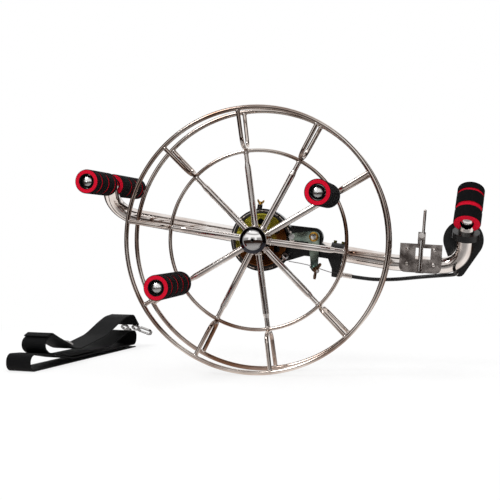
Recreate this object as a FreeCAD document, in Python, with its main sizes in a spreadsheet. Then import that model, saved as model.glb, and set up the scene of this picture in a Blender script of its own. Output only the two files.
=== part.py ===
"""Kite line winder: a wire reel that spins on a tubular belly frame, with a lever-worked band brake.

The origin is the middle of the reel on its axle. The axle runs along +Y, away from the flyer,
+X points to the brake hand and +Z up. Lengths are in millimetres and angles in degrees.
"""
import FreeCAD, Part
import math
import operator
import os
import Sketcher
from types import SimpleNamespace

CLEAR = 1       # how far a cutting shape runs past what it cuts
BEYOND = 400    # length of a cutting shape that passes through everything

V = FreeCAD.Vector
X_AXIS, Y_AXIS, Z_AXIS = V(1, 0, 0), V(0, 1, 0), V(0, 0, 1)
ORIGIN = V(0, 0, 0)

SIZES = {
    # reel: two rim rings, a core ring, spokes and forks
    "rim_radius": 175, "rim_rod": 6, "rim_offset": 22.5,
    "core_radius": 120, "core_rod": 5,
    "spoke_count": 10, "spoke_first": 30, "spoke_rod": 8.5, "spoke_neck": 6.3,
    "neck_length": 14, "taper_length": 6, "weld_sink": 1,
    "fork_rod": 5.6, "fork_spread": 19, "fork_bend": 13,
    # hub and bearings
    "hub_outer": 36, "hub_front": 28, "hub_rear": 30, "hub_end_wall": 8, "hub_bore": 17,
    "axle_outer": 12, "axle_front": 27, "axle_tail": 19, "shoulder_outer": 15,
    "bearing_outer": 28, "bearing_width": 8, "bearing_inset": 8, "bearing_play": 0.05,
    "bearing_dish": 0.6, "race_width": 2.2,
    "end_play": 0.3, "nut_across": 17, "nut_height": 5.5, "washer_outer": 19, "washer_reach": 2,
    "washer_sink": 3,
    "cap_outer": 35, "cap_height": 5.8, "cap_wall": 2, "cap_lip": 1.2, "cap_rim": 28, "cap_groove": 24,
    "cap_groove_depth": 1.2, "cap_shoulder": 2, "cap_hole": 4.6, "cap_hole_depth": 2.4, "cap_dome_radius": 32,
    # brake drum
    "drum_outer": 72, "drum_wall": 2.5, "drum_length": 16, "drum_edge": 1, "drum_holes": 6,
    "drum_hole": 9, "drum_hole_circle": 50, "bolt_count": 5, "bolt_circle": 26, "bolt_rod": 4,
    "bolt_across": 7, "bolt_head": 3, "bolt_grip": 6,
    # crank handles
    "crank_inset": 6, "pin_rod": 8, "pin_root": 2, "pin_collar": 13, "pin_collar_at": 28,
    "pin_collar_wide": 2, "pin_head": 11.2, "pin_head_height": 3, "pin_head_recess": 2,
    "sleeve_outer": 19, "sleeve_end": 134, "sleeve_counterbore": 12.4, "sleeve_play": 0.05,
    "foam_outer": 32, "foam_start": 30, "foam_length": 110, "foam_edge": 1.5, "groove_width": 5,
    "groove_depth": 1.5, "groove_first": 18, "groove_pitch": 26,
    "cap_dome": 17.6, "dome_height": 6, "dome_edge": 1.2,
    # frame tube, placed behind the brake
    "tube_outer": 22, "tube_wall": 1.5, "tube_gap": 2.5, "frame_tilt": 10,
    "left_corner": 222, "belly_bar_x": -216, "belly_bar_z": 78, "belly_joint_ahead": 36,
    "left_bend": 36, "kink_at": 178, "kink_bend": 90, "elbow_at": 270, "right_slope": 3.6,
    "elbow_bend": 30, "joint_sink": 4.3,
    # belly bar with its two grips
    "belly_near": 92, "belly_far": 120, "belly_gap": 12, "cap_recess": 6, "foam_clearance": 0.2,
    # brake-hand grip
    "grip_x": 274.7, "grip_ahead": 38.4, "grip_near_z": 20.3, "grip_lean": 53.1, "grip_yaw": 6.8,
    "grip_length": 58, "grip_outer": 36, "grip_joint": 14, "grip_groove_at": 22,
    "grip_groove_wide": 7, "grip_groove_two": 46, "grip_groove_thin": 4,
    # brake cover and torque plate
    "cover_outer": 86, "cover_wall": 1.5, "cover_plate": 2.5, "cover_depth": 17.5, "plate_gap": 3,
    "spacer_outer": 24, "pivot_x": 69.9, "pivot_z": 16.4, "plate_round": 12.2, "plate_start_x": 36,
    "plate_start_z": 26.6, "plate_waist_z": 10.2, "plate_shelf_x": 88, "plate_shelf_z": 7,
    "plate_step_x": 103, "plate_end": 109.3, "plate_end_z": 5, "plate_low": -10, "plate_belly_x": 60,
    "plate_belly_z": -12, "plate_heel_x": 40, "plate_heel_z": -22, "plate_toe_x": 30,
    "plate_toe_z": -26, "plate_edge": 2, "plate_flange": 9, "window_edge": 33, "window_high": 23.5,
    "window_low": -34,
    # band brake
    "lining_gap": 0.5, "lining_thick": 3, "lining_inset": 0.5, "lining_short": 2, "band_thick": 1.2,
    "band_inset": 3, "band_width": 13, "band_top_angle": 24, "band_foot_angle": 32, "eye_outer": 8.2,
    "eye_width": 4, "eye_tab": 2.4, "eye_slot_play": 0.1, "anchor_radius": 40.6, "anchor_angle": 22.9,
    "anchor_rod": 5, "anchor_head": 11, "anchor_head_height": 3.8, "anchor_socket": 2,
    "anchor_nut": 8, "anchor_nut_height": 3, "drum_clearance": 0.5,
    # brake arm
    "arm_ahead": 13, "arm_thick": 3, "arm_end_round": 4.5, "arm_pivot_round": 8,
    "arm_pin_x": 39.9, "arm_pin_z": 11.4, "arm_pin_rod": 5, "arm_pin_head": 8, "arm_pin_head_height": 2,
    "arm_foot_x": 77.8, "arm_foot_z": -25.8, "pivot_rod": 6, "pivot_washer": 13,
    "pivot_washer_height": 1.4, "pivot_nut": 9, "pivot_nut_height": 4, "pivot_end": 1, "pivot_tail": 2,
    "pivot_spacer": 10, "brake_swing": 5.4, "pivot_play": 0.05,
    # cable clamp in the arm's foot
    "clamp_rod": 4, "clamp_boss": 9, "boss_rear": 3.5, "boss_front": 5, "clamp_reach": 13,
    "clamp_head": 8, "clamp_head_length": 7.5, "clamp_slot_floor": 1.4, "clamp_slot_up": 1.1,
    "clamp_slot_down": 2.9, "clamp_grip": 4.7, "wing_span": 24, "wing_rise": 10, "wing_thick": 2.2,
    "wing_hub": 8.4, "wing_hub_top": 6.4, "wing_hub_height": 6.5, "wing_turn": 19.3,
    "clamp_out": 25.3, "clamp_dip": 16.6,
    "wire_ahead": 7, "wire_rod": 1.2, "wire_play": 0.3, "wire_end_x": 40.6, "wire_end_z": -22.9,
    # drag screw
    "drag_x": -11.5, "drag_ahead": 9.5, "drag_rod": 3.6, "drag_boss": 7, "drag_boss_rise": 4.5,
    "drag_sink": 1.2, "drag_foot_gap": 0.4, "drag_head": 6.4, "drag_head_top": 4.4,
    "drag_head_rise": 4, "drag_wing": 10, "drag_wing_rise": 6.5, "drag_wing_thick": 2,
    # torque clamp and cable stop
    "clamp_start": 93.5, "clamp_length": 17.5, "clamp_wall": 2, "screw_a": 97.3, "screw_b": 108.2,
    "screw_rod": 3, "screw_head": 4.6, "screw_head_height": 3, "screw_socket": 2.2,
    "screw_socket_depth": 1.5, "stop_ahead": 10.5, "stop_tuck": 3, "stop_foot": -33,
    "stop_waist_z": -22, "cable_z": -28, "stop_barrel": 8.4, "stop_barrel_start": 102,
    "ferrule_start": 116, "ferrule_end": 129.7, "ferrule_outer": 6.6, "housing_rod": 5,
    "ferrule_floor": 4,
    # line guide, measured from the frame tube's middle plane
    "guide_x": 214.5, "guide_z": -25.5, "guide_width": 56, "guide_height": 39, "guide_corner": 8,
    "guide_plate": 2.5, "guide_ahead": 17, "guide_flange_tuck": 1, "flange_drop": 2,
    "window_left": -7, "window_right": 13, "window_top": 14, "window_foot": -1.5,
    "rivet_x": 17.7, "rivet_top": 12, "rivet_low": -7.6, "rivet_rod": 3, "rivet_head": 5,
    "rivet_head_height": 1.2, "rivet_bevel": 0.8, "lug_reach": 13, "lug_width": 10, "lug_thick": 2.5,
    "lug_top": 24.5, "tab_top": 35.5, "roller_rod": 6, "roller_ahead": 25, "roller_play": 0.05,
    "post_rod": 3, "knuckle_z": 31, "knuckle_outer": 7.6, "knuckle_head": 5,
    "knuckle_head_height": 1, "finger_rod": 4, "finger_length": 33, "finger_lean": 1,
    "finger_aside": 1.8,
    # brake perch and lever
    "perch_x": 271.6, "perch_z": -1, "perch_round": 54, "perch_behind": 12, "perch_thick": 13,
    "tail_x": 265.8, "tail_z": -43, "tail_round": 16, "collar_outer": 36, "collar_length": 9,
    "collar_at": 47.5, "bridge_width": 20, "bridge_height": 15, "bridge_drop": 8, "bridge_sink": 2,
    "slot_width": 9.6, "slot_floor": -4, "slot_room": 6, "lever_pin_z": 9, "lever_pin_rod": 5,
    "lever_pin_seat": 6.5, "lever_root": 12, "lever_thick": 9, "lever_length": 66, "lever_tip": 9,
    "lever_lean": 53.1, "barrel_x": 261, "barrel_z": -46, "barrel_outer": 6.8, "barrel_length": 7,
    "mouth_depth": 4,
    # belly strap, folded on the ground beside the reel
    "strap_x": -299, "strap_y": -39, "strap_turn": 80.8, "strap_width": 39,
    "strap_thick": 1.6, "buckle_at": 84, "buckle_length": 16, "buckle_bar": 3, "buckle_thick": 2.4,
    "buckle_gap": 0.3, "hook_across": 14, "hook_length": 12, "hook_eye": 14, "hook_wall": 3,
    "hook_thick": 3, "hook_gap": 10, "gate_gap": 0.3, "gate_slack": 0.4,
}

# Degrees by which each hand-set spoke stands off its even place round the hub.
SPOKE_OFFSETS = (0, -5, -5, -3.5, -2.5, 0, -3.5, -5, -4, -1.5)

# Corners of the cable housing's route: x, distance ahead of the frame tube, and z.
HOUSING_ROUTE = ((152, 21.5, -54), (182, 26, -53.5), (214, 39, -49.5), (243, 43, -47), (258, 32, -46.5))

# Corners of the folded strap, from its hook end to its end on the ground: distance, height, bend radius.
STRAP_FOLDS = (
    (308, 36, 0), (290, 54, 12), (262, 52, 60), (240, 45, 60), (197, 29, 90), (112, 16.5, 60), (40, 46, 9),
    (16, 34, 9), (34, 21, 12), (90, 11.2, 90), (205, 10.4, 90), (272, 28, 9), (300, 27, 9), (297, 5.5, 9),
    (96, 6.4, 90), (20, 21.5, 30), (-13, 24, 10), (-13, 0.9, 10), (296, 0.9, 0),
)

doc = FreeCAD.newDocument("KiteLineWinder")


class Size:
    """A length or angle, together with the sheet formula that it comes from."""

    def __init__(self, formula, value):
        self.formula = formula
        self.value = value

    def __float__(self):
        return float(self.value)

    def __neg__(self):
        return 0 - self


def as_size(number):
    return number if isinstance(number, Size) else Size(repr(number), number)


def arithmetic(sign, work):
    def combine(left, right):
        left, right = as_size(left), as_size(right)
        return Size("(%s %s %s)" % (left.formula, sign, right.formula), work(left.value, right.value))
    return combine


for name, sign, work in (("add", "+", operator.add), ("sub", "-", operator.sub),
                         ("mul", "*", operator.mul), ("truediv", "/", operator.truediv)):
    combine = arithmetic(sign, work)
    setattr(Size, "__%s__" % name, combine)
    setattr(Size, "__r%s__" % name, lambda self, other, combine=combine: combine(other, self))


def cosine(angle):
    return Size("cos(%s * 1 deg)" % angle.formula, math.cos(math.radians(angle.value)))


def sine(angle):
    return Size("sin(%s * 1 deg)" % angle.formula, math.sin(math.radians(angle.value)))


def make_sheet():
    """Write the driving sizes into a sheet and return them by name."""
    sheet = doc.addObject("Spreadsheet::Sheet", "Sizes")
    for row, (alias, value) in enumerate(SIZES.items(), 1):
        sheet.set("A%d" % row, alias)
        sheet.set("B%d" % row, str(value))
        sheet.setAlias("B%d" % row, alias)
    doc.recompute()
    return SimpleNamespace(**{alias: Size("Sizes.%s" % alias, sheet.get(alias)) for alias in SIZES})


def derive(size):
    """Sizes that follow from the driving ones: the stack of depths along the axle, and what it carries."""
    size.drum_rear = size.hub_rear + size.drum_length
    size.plate_front = size.drum_rear + size.plate_gap
    size.cover_rear = size.plate_front + size.cover_plate
    size.cover_front = size.cover_rear - size.cover_depth
    size.frame_depth = size.cover_rear + size.tube_gap + size.tube_outer / 2
    size.axle_rear = size.frame_depth + size.axle_tail
    size.crank_radius = size.core_radius - size.crank_inset
    size.belly_joint = size.frame_depth - size.belly_joint_ahead
    size.grip_near_y = size.frame_depth - size.grip_ahead
    size.band_front = size.hub_rear + size.band_inset
    size.arm_front = size.cover_rear - size.arm_ahead
    size.wire_depth = size.cover_rear - size.wire_ahead
    size.drag_depth = size.cover_rear - size.drag_ahead
    size.guide_front = size.frame_depth - size.guide_ahead
    size.roller_depth = size.frame_depth - size.roller_ahead
    size.lug_front = size.guide_front - size.lug_reach
    size.perch_front = size.frame_depth + size.perch_behind
    size.perch_rear = size.perch_front + size.perch_thick
    size.lever_depth = size.perch_front + size.perch_thick / 2
    size.barrel_front = size.perch_front - size.barrel_length
    size.strap_ground = -(size.rim_radius + size.rim_rod / 2)
    return size


d = derive(make_sheet())


# ---------------------------------------------------------------- small helpers

def bind(thing, prop, size):
    thing.setExpression(prop, as_size(size).formula)


def place(thing, x=0, y=0, z=0, axis=Z_AXIS, angle=0):
    """Put a piece at x, y, z, turned by an angle about an axis."""
    spots = [as_size(number) for number in (x, y, z)]
    angle = as_size(angle)
    turn = FreeCAD.Rotation(axis, float(angle))
    thing.Placement = FreeCAD.Placement(V(*[float(spot) for spot in spots]), turn)
    for letter, spot in zip("xyz", spots):
        bind(thing, "Placement.Base.%s" % letter, spot)
    if float(angle):
        bind(thing, "Placement.Rotation.Angle", angle)
    return thing


def tilt(thing):
    """Turn a piece that is drawn along the frame tube to the tube's slope."""
    return place(thing, axis=Y_AXIS, angle=d.frame_tilt)


def new_body(label):
    body = doc.addObject("PartDesign::Body", label)
    body.Label = label
    return body


def origin_plane(body, role):
    return next(plane for plane in body.Origin.OriginFeatures if plane.Role == role)


def new_sketch(body, role, offset):
    sketch = body.newObject("Sketcher::SketchObject", body.Name + "Sketch")
    sketch.AttachmentSupport = (origin_plane(body, role), [""])
    sketch.MapMode = "FlatFace"
    bind(sketch, "AttachmentOffset.Base.z", offset)
    return sketch


def fix(sketch, kind, *where, size):
    number = sketch.addConstraint(Sketcher.Constraint(kind, *where, float(size)))
    sketch.setExpression("Constraints[%d]" % number, as_size(size).formula)


def arc_between(start, end, radius):
    """The arc of less than half a turn from start to end; a negative radius turns clockwise."""
    half = (end - start) / 2
    across = V(-half.y, half.x, 0).normalize()
    rise = math.sqrt(radius * radius - half.Length ** 2)
    centre = start + half + across * math.copysign(rise, radius)
    first, last = (start, end) if radius > 0 else (end, start)
    angles = [math.atan2(point.y - centre.y, point.x - centre.x) for point in (first, last)]
    return Part.ArcOfCircle(Part.Circle(centre, Z_AXIS, abs(radius)), *angles)


def draw_outline(sketch, corners):
    """A closed outline; a corner's third number is the radius of the arc to the next corner."""
    spots = [V(float(corner[0]), float(corner[1]), 0) for corner in corners]
    ends = []
    for number, corner in enumerate(corners):
        start, end = spots[number], spots[(number + 1) % len(spots)]
        if len(corner) == 3:
            radius = float(corner[2])
            edge = sketch.addGeometry(arc_between(start, end, radius))
            ends.append((edge, 1, 2) if radius > 0 else (edge, 2, 1))
        else:
            edge = sketch.addGeometry(Part.LineSegment(start, end))
            ends.append((edge, 1, 2))
    for number, (edge, start, _) in enumerate(ends):
        before, _, end = ends[number - 1]
        sketch.addConstraint(Sketcher.Constraint("Coincident", before, end, edge, start))
        fix(sketch, "DistanceX", edge, start, size=corners[number][0])
        fix(sketch, "DistanceY", edge, start, size=corners[number][1])
        if len(corners[number]) == 3:
            radius = corners[number][2]
            fix(sketch, "Radius", edge, size=radius if float(radius) > 0 else -radius)
    return sketch


def draw_circles(sketch, circles):
    for x, y, radius in circles:
        edge = sketch.addGeometry(Part.Circle(V(float(x), float(y), 0), Z_AXIS, float(radius)))
        fix(sketch, "DistanceX", edge, 3, size=x)
        fix(sketch, "DistanceY", edge, 3, size=y)
        fix(sketch, "Radius", edge, size=radius)
    return sketch


def draw_link(sketch, one, two):
    """The outline round two circles, each given as x, y, radius, and their outer tangents."""
    centres = [V(float(x), float(y), 0) for x, y, _ in (one, two)]
    radii = [float(radius) for _, _, radius in (one, two)]
    along = centres[1] - centres[0]
    facing = math.atan2(along.y, along.x)
    spread = math.acos((radii[0] - radii[1]) / along.Length)
    angles = (facing + spread, facing - spread)
    circles = [Part.Circle(centre, Z_AXIS, radius) for centre, radius in zip(centres, radii)]
    arc_one = sketch.addGeometry(Part.ArcOfCircle(circles[0], angles[0], angles[1] + 2 * math.pi))
    arc_two = sketch.addGeometry(Part.ArcOfCircle(circles[1], angles[1], angles[0]))
    left = [circle.value(angles[0]) for circle in circles]
    right = [circle.value(angles[1]) for circle in circles]
    line_left = sketch.addGeometry(Part.LineSegment(left[0], left[1]))
    line_right = sketch.addGeometry(Part.LineSegment(right[1], right[0]))
    for pair in ((arc_one, 1, line_left, 1), (line_left, 2, arc_two, 2),
                 (arc_two, 1, line_right, 1), (line_right, 2, arc_one, 2)):
        sketch.addConstraint(Sketcher.Constraint("Tangent", *pair))
    for edge, (x, y, radius) in ((arc_one, one), (arc_two, two)):
        fix(sketch, "DistanceX", edge, 3, size=x)
        fix(sketch, "DistanceY", edge, 3, size=y)
        fix(sketch, "Radius", edge, size=radius)
    return sketch


def turn(body, corners, angle=360):
    """Revolve an outline of radius and depth about the body's Y axis."""
    sketch = draw_outline(new_sketch(body, "XY_Plane", 0), corners)
    feature = body.newObject("PartDesign::Revolution", body.Name + "Turn")
    feature.Profile = sketch
    feature.ReferenceAxis = (sketch, ["V_Axis"])
    bind(feature, "Angle", angle)
    doc.recompute()
    return body


def turned(label, corners, angle=360):
    return turn(new_body(label), corners, angle)


def pad(body, sketch, length):
    feature = body.newObject("PartDesign::Pad", body.Name + "Pad")
    feature.Profile = sketch
    bind(feature, "Length", length)
    doc.recompute()
    return feature


def slab(body, draw, front, rear, *shapes):
    """Add a plate between two depths along Y, from an outline in X and Z."""
    return pad(body, draw(new_sketch(body, "XZ_Plane", -as_size(rear)), *shapes), rear - front)


def pocket(body, sketch, length, reverse=False):
    """Cut away from the sketch's normal, and make sure that something was cut."""
    before = body.Shape.Volume
    feature = body.newObject("PartDesign::Pocket", body.Name + "Pocket")
    feature.Profile = sketch
    feature.Reversed = reverse
    bind(feature, "Length", length)
    doc.recompute()
    if body.Shape.Volume > before - 0.1:
        raise RuntimeError(body.Label + ": the pocket cuts nothing")
    return feature


def cut_through(body, draw, front, rear, *shapes):
    """Cut an outline in X and Z away between two depths along Y."""
    sketch = draw(new_sketch(body, "XZ_Plane", -as_size(front)), *shapes)
    return pocket(body, sketch, rear - front)


def repeat(body, feature, count):
    """Repeat a feature round the body's Y axis."""
    pattern = body.newObject("PartDesign::PolarPattern", body.Name + "Pattern")
    pattern.Originals = [feature]
    pattern.Axis = (feature.Profile[0], ["V_Axis"])
    if origin_plane(body, "XZ_Plane") in [link[0] for link in feature.Profile[0].AttachmentSupport]:
        pattern.Axis = (feature.Profile[0], ["N_Axis"])
    pattern.Angle = 360
    bind(pattern, "Occurrences", count)
    body.Tip = pattern
    doc.recompute()


def shaped(label, shape):
    """A piece whose form neither a sketched body nor a primitive gives."""
    piece = doc.addObject("Part::Feature", label)
    piece.Label = label
    piece.Shape = Part.makeCompound(shape.Solids)
    return piece


def rounded(points, radii):
    """Straight runs through the points, joined by tangent arcs of the given radii."""
    edges = []
    start = points[0]
    for before, corner, after, radius in zip(points, points[1:], points[2:], radii):
        back = (before - corner).normalize()
        ahead = (after - corner).normalize()
        reach = radius / math.tan(back.getAngle(ahead) / 2)
        middle = corner + (back + ahead).normalize() * (math.hypot(radius, reach) - radius)
        first, last = corner + back * reach, corner + ahead * reach
        edges.append(Part.LineSegment(start, first).toShape())
        edges.append(Part.Arc(first, middle, last).toShape())
        start = last
    edges.append(Part.LineSegment(start, points[-1]).toShape())
    return Part.Wire(edges)


def swept(path, radius):
    """A round rod along a path, with its volume compared with section times length."""
    first = path.Edges[0]
    circle = Part.Circle(first.valueAt(first.FirstParameter), first.tangentAt(first.FirstParameter), radius)
    rod = path.makePipeShell([Part.Wire(circle.toShape())], True, False)
    expected = math.pi * radius * radius * path.Length
    if abs(rod.Volume / expected - 1) > 0.01:
        raise RuntimeError("a swept rod has %.0f mm3 in place of %.0f" % (rod.Volume, expected))
    return rod


def rod_between(start, end, radius):
    return Part.makeCylinder(radius, (end - start).Length, start, end - start)


def prism(across, height, base, axis):
    """A hexagonal prism, for nuts and bolt heads, across its flats."""
    corner = across / math.sqrt(3)
    turn_to = FreeCAD.Rotation(Z_AXIS, axis)
    points = [base + turn_to * V(corner * math.cos(math.radians(60 * step)),
                                 corner * math.sin(math.radians(60 * step)), 0) for step in range(7)]
    return Part.Face(Part.makePolygon(points)).extrude(axis * height)


def copies(shape, count, first, offsets=None):
    """Copies of a shape round the axle, from a first angle measured up from +X."""
    turned_shapes = []
    for step in range(int(float(count))):
        angle = float(first) + 360 / float(count) * step
        if offsets:
            angle += offsets[step % len(offsets)]
        turned_shapes.append(shape.rotated(ORIGIN, Y_AXIS, -angle))
    return Part.makeCompound(turned_shapes)


def round_bar(x, z, radius):
    """A long round bar along Y, for cutting."""
    return Part.makeCylinder(float(radius), 2 * BEYOND, V(float(x), -BEYOND, float(z)), Y_AXIS)


# ---------------------------------------------------------------- reel

def ring(label, radius, rod, depth):
    """A round wire ring about the axle."""
    piece = doc.addObject("Part::Torus", label)
    piece.Label = label
    bind(piece, "Radius1", radius)
    bind(piece, "Radius2", rod / 2)
    return place(piece, y=depth, axis=X_AXIS, angle=90)


def make_rings():
    front = ring("rim_ring_front", d.rim_radius, d.rim_rod, -d.rim_offset)
    rear = ring("rim_ring_rear", d.rim_radius, d.rim_rod, d.rim_offset)
    core = ring("core_ring", d.core_radius, d.core_rod, as_size(0))
    doc.recompute()
    return front, rear, core


def make_spokes(core):
    """Ten straight spokes, each with a pinched neck, saddled on the hub and the core ring."""
    end = float(d.core_radius - d.weld_sink)
    neck_start = end - float(d.neck_length)
    taper_start = neck_start - float(d.taper_length)
    wide, narrow = float(d.spoke_rod) / 2, float(d.spoke_neck) / 2
    start = float(d.hub_outer) / 2 - wide
    corners = [V(start, 0, 0), V(start, 0, wide), V(taper_start, 0, wide), V(neck_start, 0, narrow),
               V(end, 0, narrow), V(end, 0, 0)]
    blank = Part.Face(Part.makePolygon(corners + corners[:1])).revolve(ORIGIN, X_AXIS, 360)
    spoke = blank.cut(round_bar(0, 0, d.hub_outer / 2)).cut(core.Shape)
    return shaped("spokes", copies(spoke, d.spoke_count, d.spoke_first, SPOKE_OFFSETS))


def make_forks(front, rear, core):
    """A U-shaped fork on the core ring beyond each spoke, whose legs carry the two rim rings."""
    base = float(d.core_radius + d.core_rod / 2 + d.fork_rod / 2 - d.weld_sink)
    top, foot, tip = float(d.rim_radius), float(d.fork_spread), float(d.rim_offset)
    points = [V(top, -tip, 0), V(base, -foot, 0), V(base, foot, 0), V(top, tip, 0)]
    fork = swept(rounded(points, [float(d.fork_bend)] * 2), float(d.fork_rod) / 2)
    fork = fork.cut(front.Shape).cut(rear.Shape).cut(core.Shape)
    return shaped("rim_forks", copies(fork, d.spoke_count, d.spoke_first, SPOKE_OFFSETS))


def make_hub():
    """Hub shell with a bearing seat from the front and an end wall that carries the drum."""
    outer, seat = d.hub_outer / 2, d.bearing_outer / 2
    wall = d.hub_rear - d.hub_end_wall
    body = turned("hub_shell", [
        (seat, -d.hub_front), (outer, -d.hub_front), (outer, d.hub_rear),
        (d.hub_bore / 2, d.hub_rear), (d.hub_bore / 2, wall), (seat, wall)])
    hole = draw_circles(new_sketch(body, "XZ_Plane", -d.hub_rear),
                        [(0, d.bolt_circle / 2, d.bolt_rod / 2)])
    drilled = pocket(body, hole, d.bolt_grip, reverse=True)
    repeat(body, drilled, d.bolt_count)
    return body


def make_hub_cap():
    """Chrome dust cap: a rolled rim, a ring groove and a shallow dome with a hole in its middle."""
    outer, inner, rim, groove = (size / 2 for size in (d.cap_outer, d.bearing_outer, d.cap_rim, d.cap_groove))
    face = -d.hub_front
    lip, top, hole = face - d.cap_lip, face - d.cap_height, d.cap_hole / 2
    step = top + d.cap_shoulder
    floor = step + d.cap_groove_depth
    return turned("hub_cap", [
        (0, top + d.cap_hole_depth), (hole, top + d.cap_hole_depth), (hole, top, d.cap_dome_radius),
        (groove, step), (groove, floor), (rim, floor), (rim, step), (outer, lip), (outer, face),
        (inner, face), (inner, face - d.cap_wall), (0, face - d.cap_wall)])


def bearing_profile(start):
    """Half section of a bearing, with its two faces dished between the races."""
    bore = float(d.axle_outer / 2 + d.bearing_play)
    outer, width = float(d.bearing_outer) / 2, float(d.bearing_width)
    race, dish = float(d.race_width), float(d.bearing_dish)
    steps = [(bore, 0), (bore + race, 0), (bore + race, dish), (outer - race, dish), (outer - race, 0),
             (outer, 0), (outer, width), (outer - race, width), (outer - race, width - dish),
             (bore + race, width - dish), (bore + race, width), (bore, width)]
    return [V(radius, start + depth, 0) for radius, depth in steps]


def make_bearings():
    seats = (-float(d.hub_front - d.bearing_inset),
             float(d.hub_rear - d.hub_end_wall - d.bearing_width))
    solids = []
    for seat in seats:
        corners = bearing_profile(seat)
        face = Part.Face(Part.makePolygon(corners + corners[:1]))
        solids.append(face.revolve(ORIGIN, Y_AXIS, 360))
    return shaped("hub_bearings", Part.makeCompound(solids))


def make_drum():
    """Brake drum: a pierced web bolted to the hub, and the wall that the band grips."""
    outer, web_rear = d.drum_outer / 2, d.hub_rear + d.drum_wall
    body = turned("brake_drum", [
        (d.hub_bore / 2, d.hub_rear), (outer - d.drum_edge, d.hub_rear), (outer, d.hub_rear + d.drum_edge),
        (outer, d.drum_rear), (outer - d.drum_wall, d.drum_rear), (outer - d.drum_wall, web_rear),
        (d.hub_bore / 2, web_rear)])
    for across, circle, count in ((d.drum_hole, d.drum_hole_circle, d.drum_holes),
                                  (d.bolt_rod, d.bolt_circle, d.bolt_count)):
        hole = cut_through(body, draw_circles, d.hub_rear - CLEAR, web_rear + CLEAR,
                           [(0, circle / 2, across / 2)])
        repeat(body, hole, count)
    return body


def make_drum_bolts():
    seat = float(d.hub_rear + d.drum_wall)
    shank = float(d.drum_wall + d.bolt_grip)
    middle = V(0, seat, float(d.bolt_circle) / 2)
    bolt = rod_between(middle - Y_AXIS * shank, middle, float(d.bolt_rod) / 2)
    bolt = bolt.fuse(prism(float(d.bolt_across), float(d.bolt_head), middle, Y_AXIS)).removeSplitter()
    return shaped("drum_bolts", copies(bolt, d.bolt_count, 0))


# ---------------------------------------------------------------- crank handles

def crank_angle(number):
    """The two handles stand on opposite spokes."""
    return d.spoke_first + 180 * number


def crank_place(thing, number):
    angle = crank_angle(number)
    return place(thing, d.crank_radius * cosine(angle), 0, d.crank_radius * sine(angle))


def make_crank_pins(spokes, core):
    """Two spindles welded to the spokes, each with a collar and a retaining head."""
    rod, collar, head = float(d.pin_rod) / 2, float(d.pin_collar) / 2, float(d.pin_head) / 2
    collar_front, root = -float(d.pin_collar_at), -float(d.pin_root)
    collar_rear = collar_front + float(d.pin_collar_wide)
    floor = float(head_step() - d.end_play)
    top = floor - float(d.pin_head_height)
    depths = [(rod, root), (rod, collar_rear), (collar, collar_rear), (collar, collar_front),
              (rod, collar_front), (rod, floor), (head, floor), (head, top), (0, top), (0, root)]
    corners = [V(radius, depth, 0) for radius, depth in depths]
    blank = Part.Face(Part.makePolygon(corners + corners[:1])).revolve(ORIGIN, Y_AXIS, 360)
    pins = []
    for number in range(2):
        angle = math.radians(float(crank_angle(number)))
        spot = V(math.cos(angle), 0, math.sin(angle)) * float(d.crank_radius)
        pins.append(blank.translated(spot).cut(spokes.Shape).cut(core.Shape))
    return shaped("crank_pins", Part.makeCompound(pins))


def head_step():
    """Depth of the step in the sleeve that the pin's head holds."""
    return d.pin_head_height + d.pin_head_recess - d.sleeve_end


def make_crank(letter, number):
    """One turning handle: steel sleeve, foam grip and chrome end cap."""
    bore, outer, counterbore = d.pin_rod / 2 + d.sleeve_play, d.sleeve_outer / 2, d.sleeve_counterbore / 2
    rear = -(d.pin_collar_at + d.end_play)
    sleeve = turned("crank_sleeve_" + letter, [
        (bore, rear), (outer, rear), (outer, -d.sleeve_end), (counterbore, -d.sleeve_end),
        (counterbore, head_step()), (bore, head_step())])
    grip = turned("crank_grip_" + letter, foam_profile(
        d.foam_outer, -(d.foam_start + d.foam_length), -d.foam_start,
        [d.groove_first + d.groove_pitch * step for step in range(4)]))
    cap = dome("crank_cap_" + letter, -d.sleeve_end)
    for piece in (sleeve, grip, cap):
        crank_place(piece, number)


def foam_profile(across, near, far, grooves, widths=None):
    """Half section of a foam tube on the bar, with ring grooves measured from its near end."""
    inner, outer, edge = d.sleeve_outer / 2, across / 2, d.foam_edge
    corners = [(inner, far), (inner, near), (outer - edge, near, edge), (outer, near + edge)]
    for number, groove in enumerate(grooves):
        width = widths[number] if widths else d.groove_width
        low, high = near + groove - width / 2, near + groove + width / 2
        corners += [(outer, low), (outer - d.groove_depth, low), (outer - d.groove_depth, high),
                    (outer, high)]
    return corners + [(outer, far - edge, edge), (outer - edge, far)]


def dome(label, seat, outward=-1):
    """A chrome end cap with a domed face, seated at a depth and pointing out of the bar."""
    outer = d.cap_dome / 2
    rise = d.dome_height - d.dome_edge
    radius = (outer * outer + rise * rise) / (2 * rise)
    face = seat + outward * d.dome_height
    rim = seat + outward * d.dome_edge
    corners = [(0, seat), (0, face, radius), (outer, rim), (outer, seat)]
    if outward > 0:
        corners = [(0, seat), (outer, seat), (outer, rim, radius), (0, face)]
    return turned(label, corners)


# ---------------------------------------------------------------- frame

def tube_line(x):
    """Point of the sloping tube's centre line, which passes through the axle."""
    return V(x, float(d.frame_depth), -x * math.tan(math.radians(float(d.frame_tilt))))


def grip_direction():
    """The brake-hand grip leans back and a little outwards."""
    lean, yaw = math.radians(float(d.grip_lean)), math.radians(float(d.grip_yaw))
    return V(math.sin(yaw), math.cos(yaw) * math.cos(lean), math.cos(yaw) * math.sin(lean))


def grip_point(along):
    """Point on the brake-hand grip's axis."""
    return V(float(d.grip_x), float(d.grip_near_y), float(d.grip_near_z)) + grip_direction() * along


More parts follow.
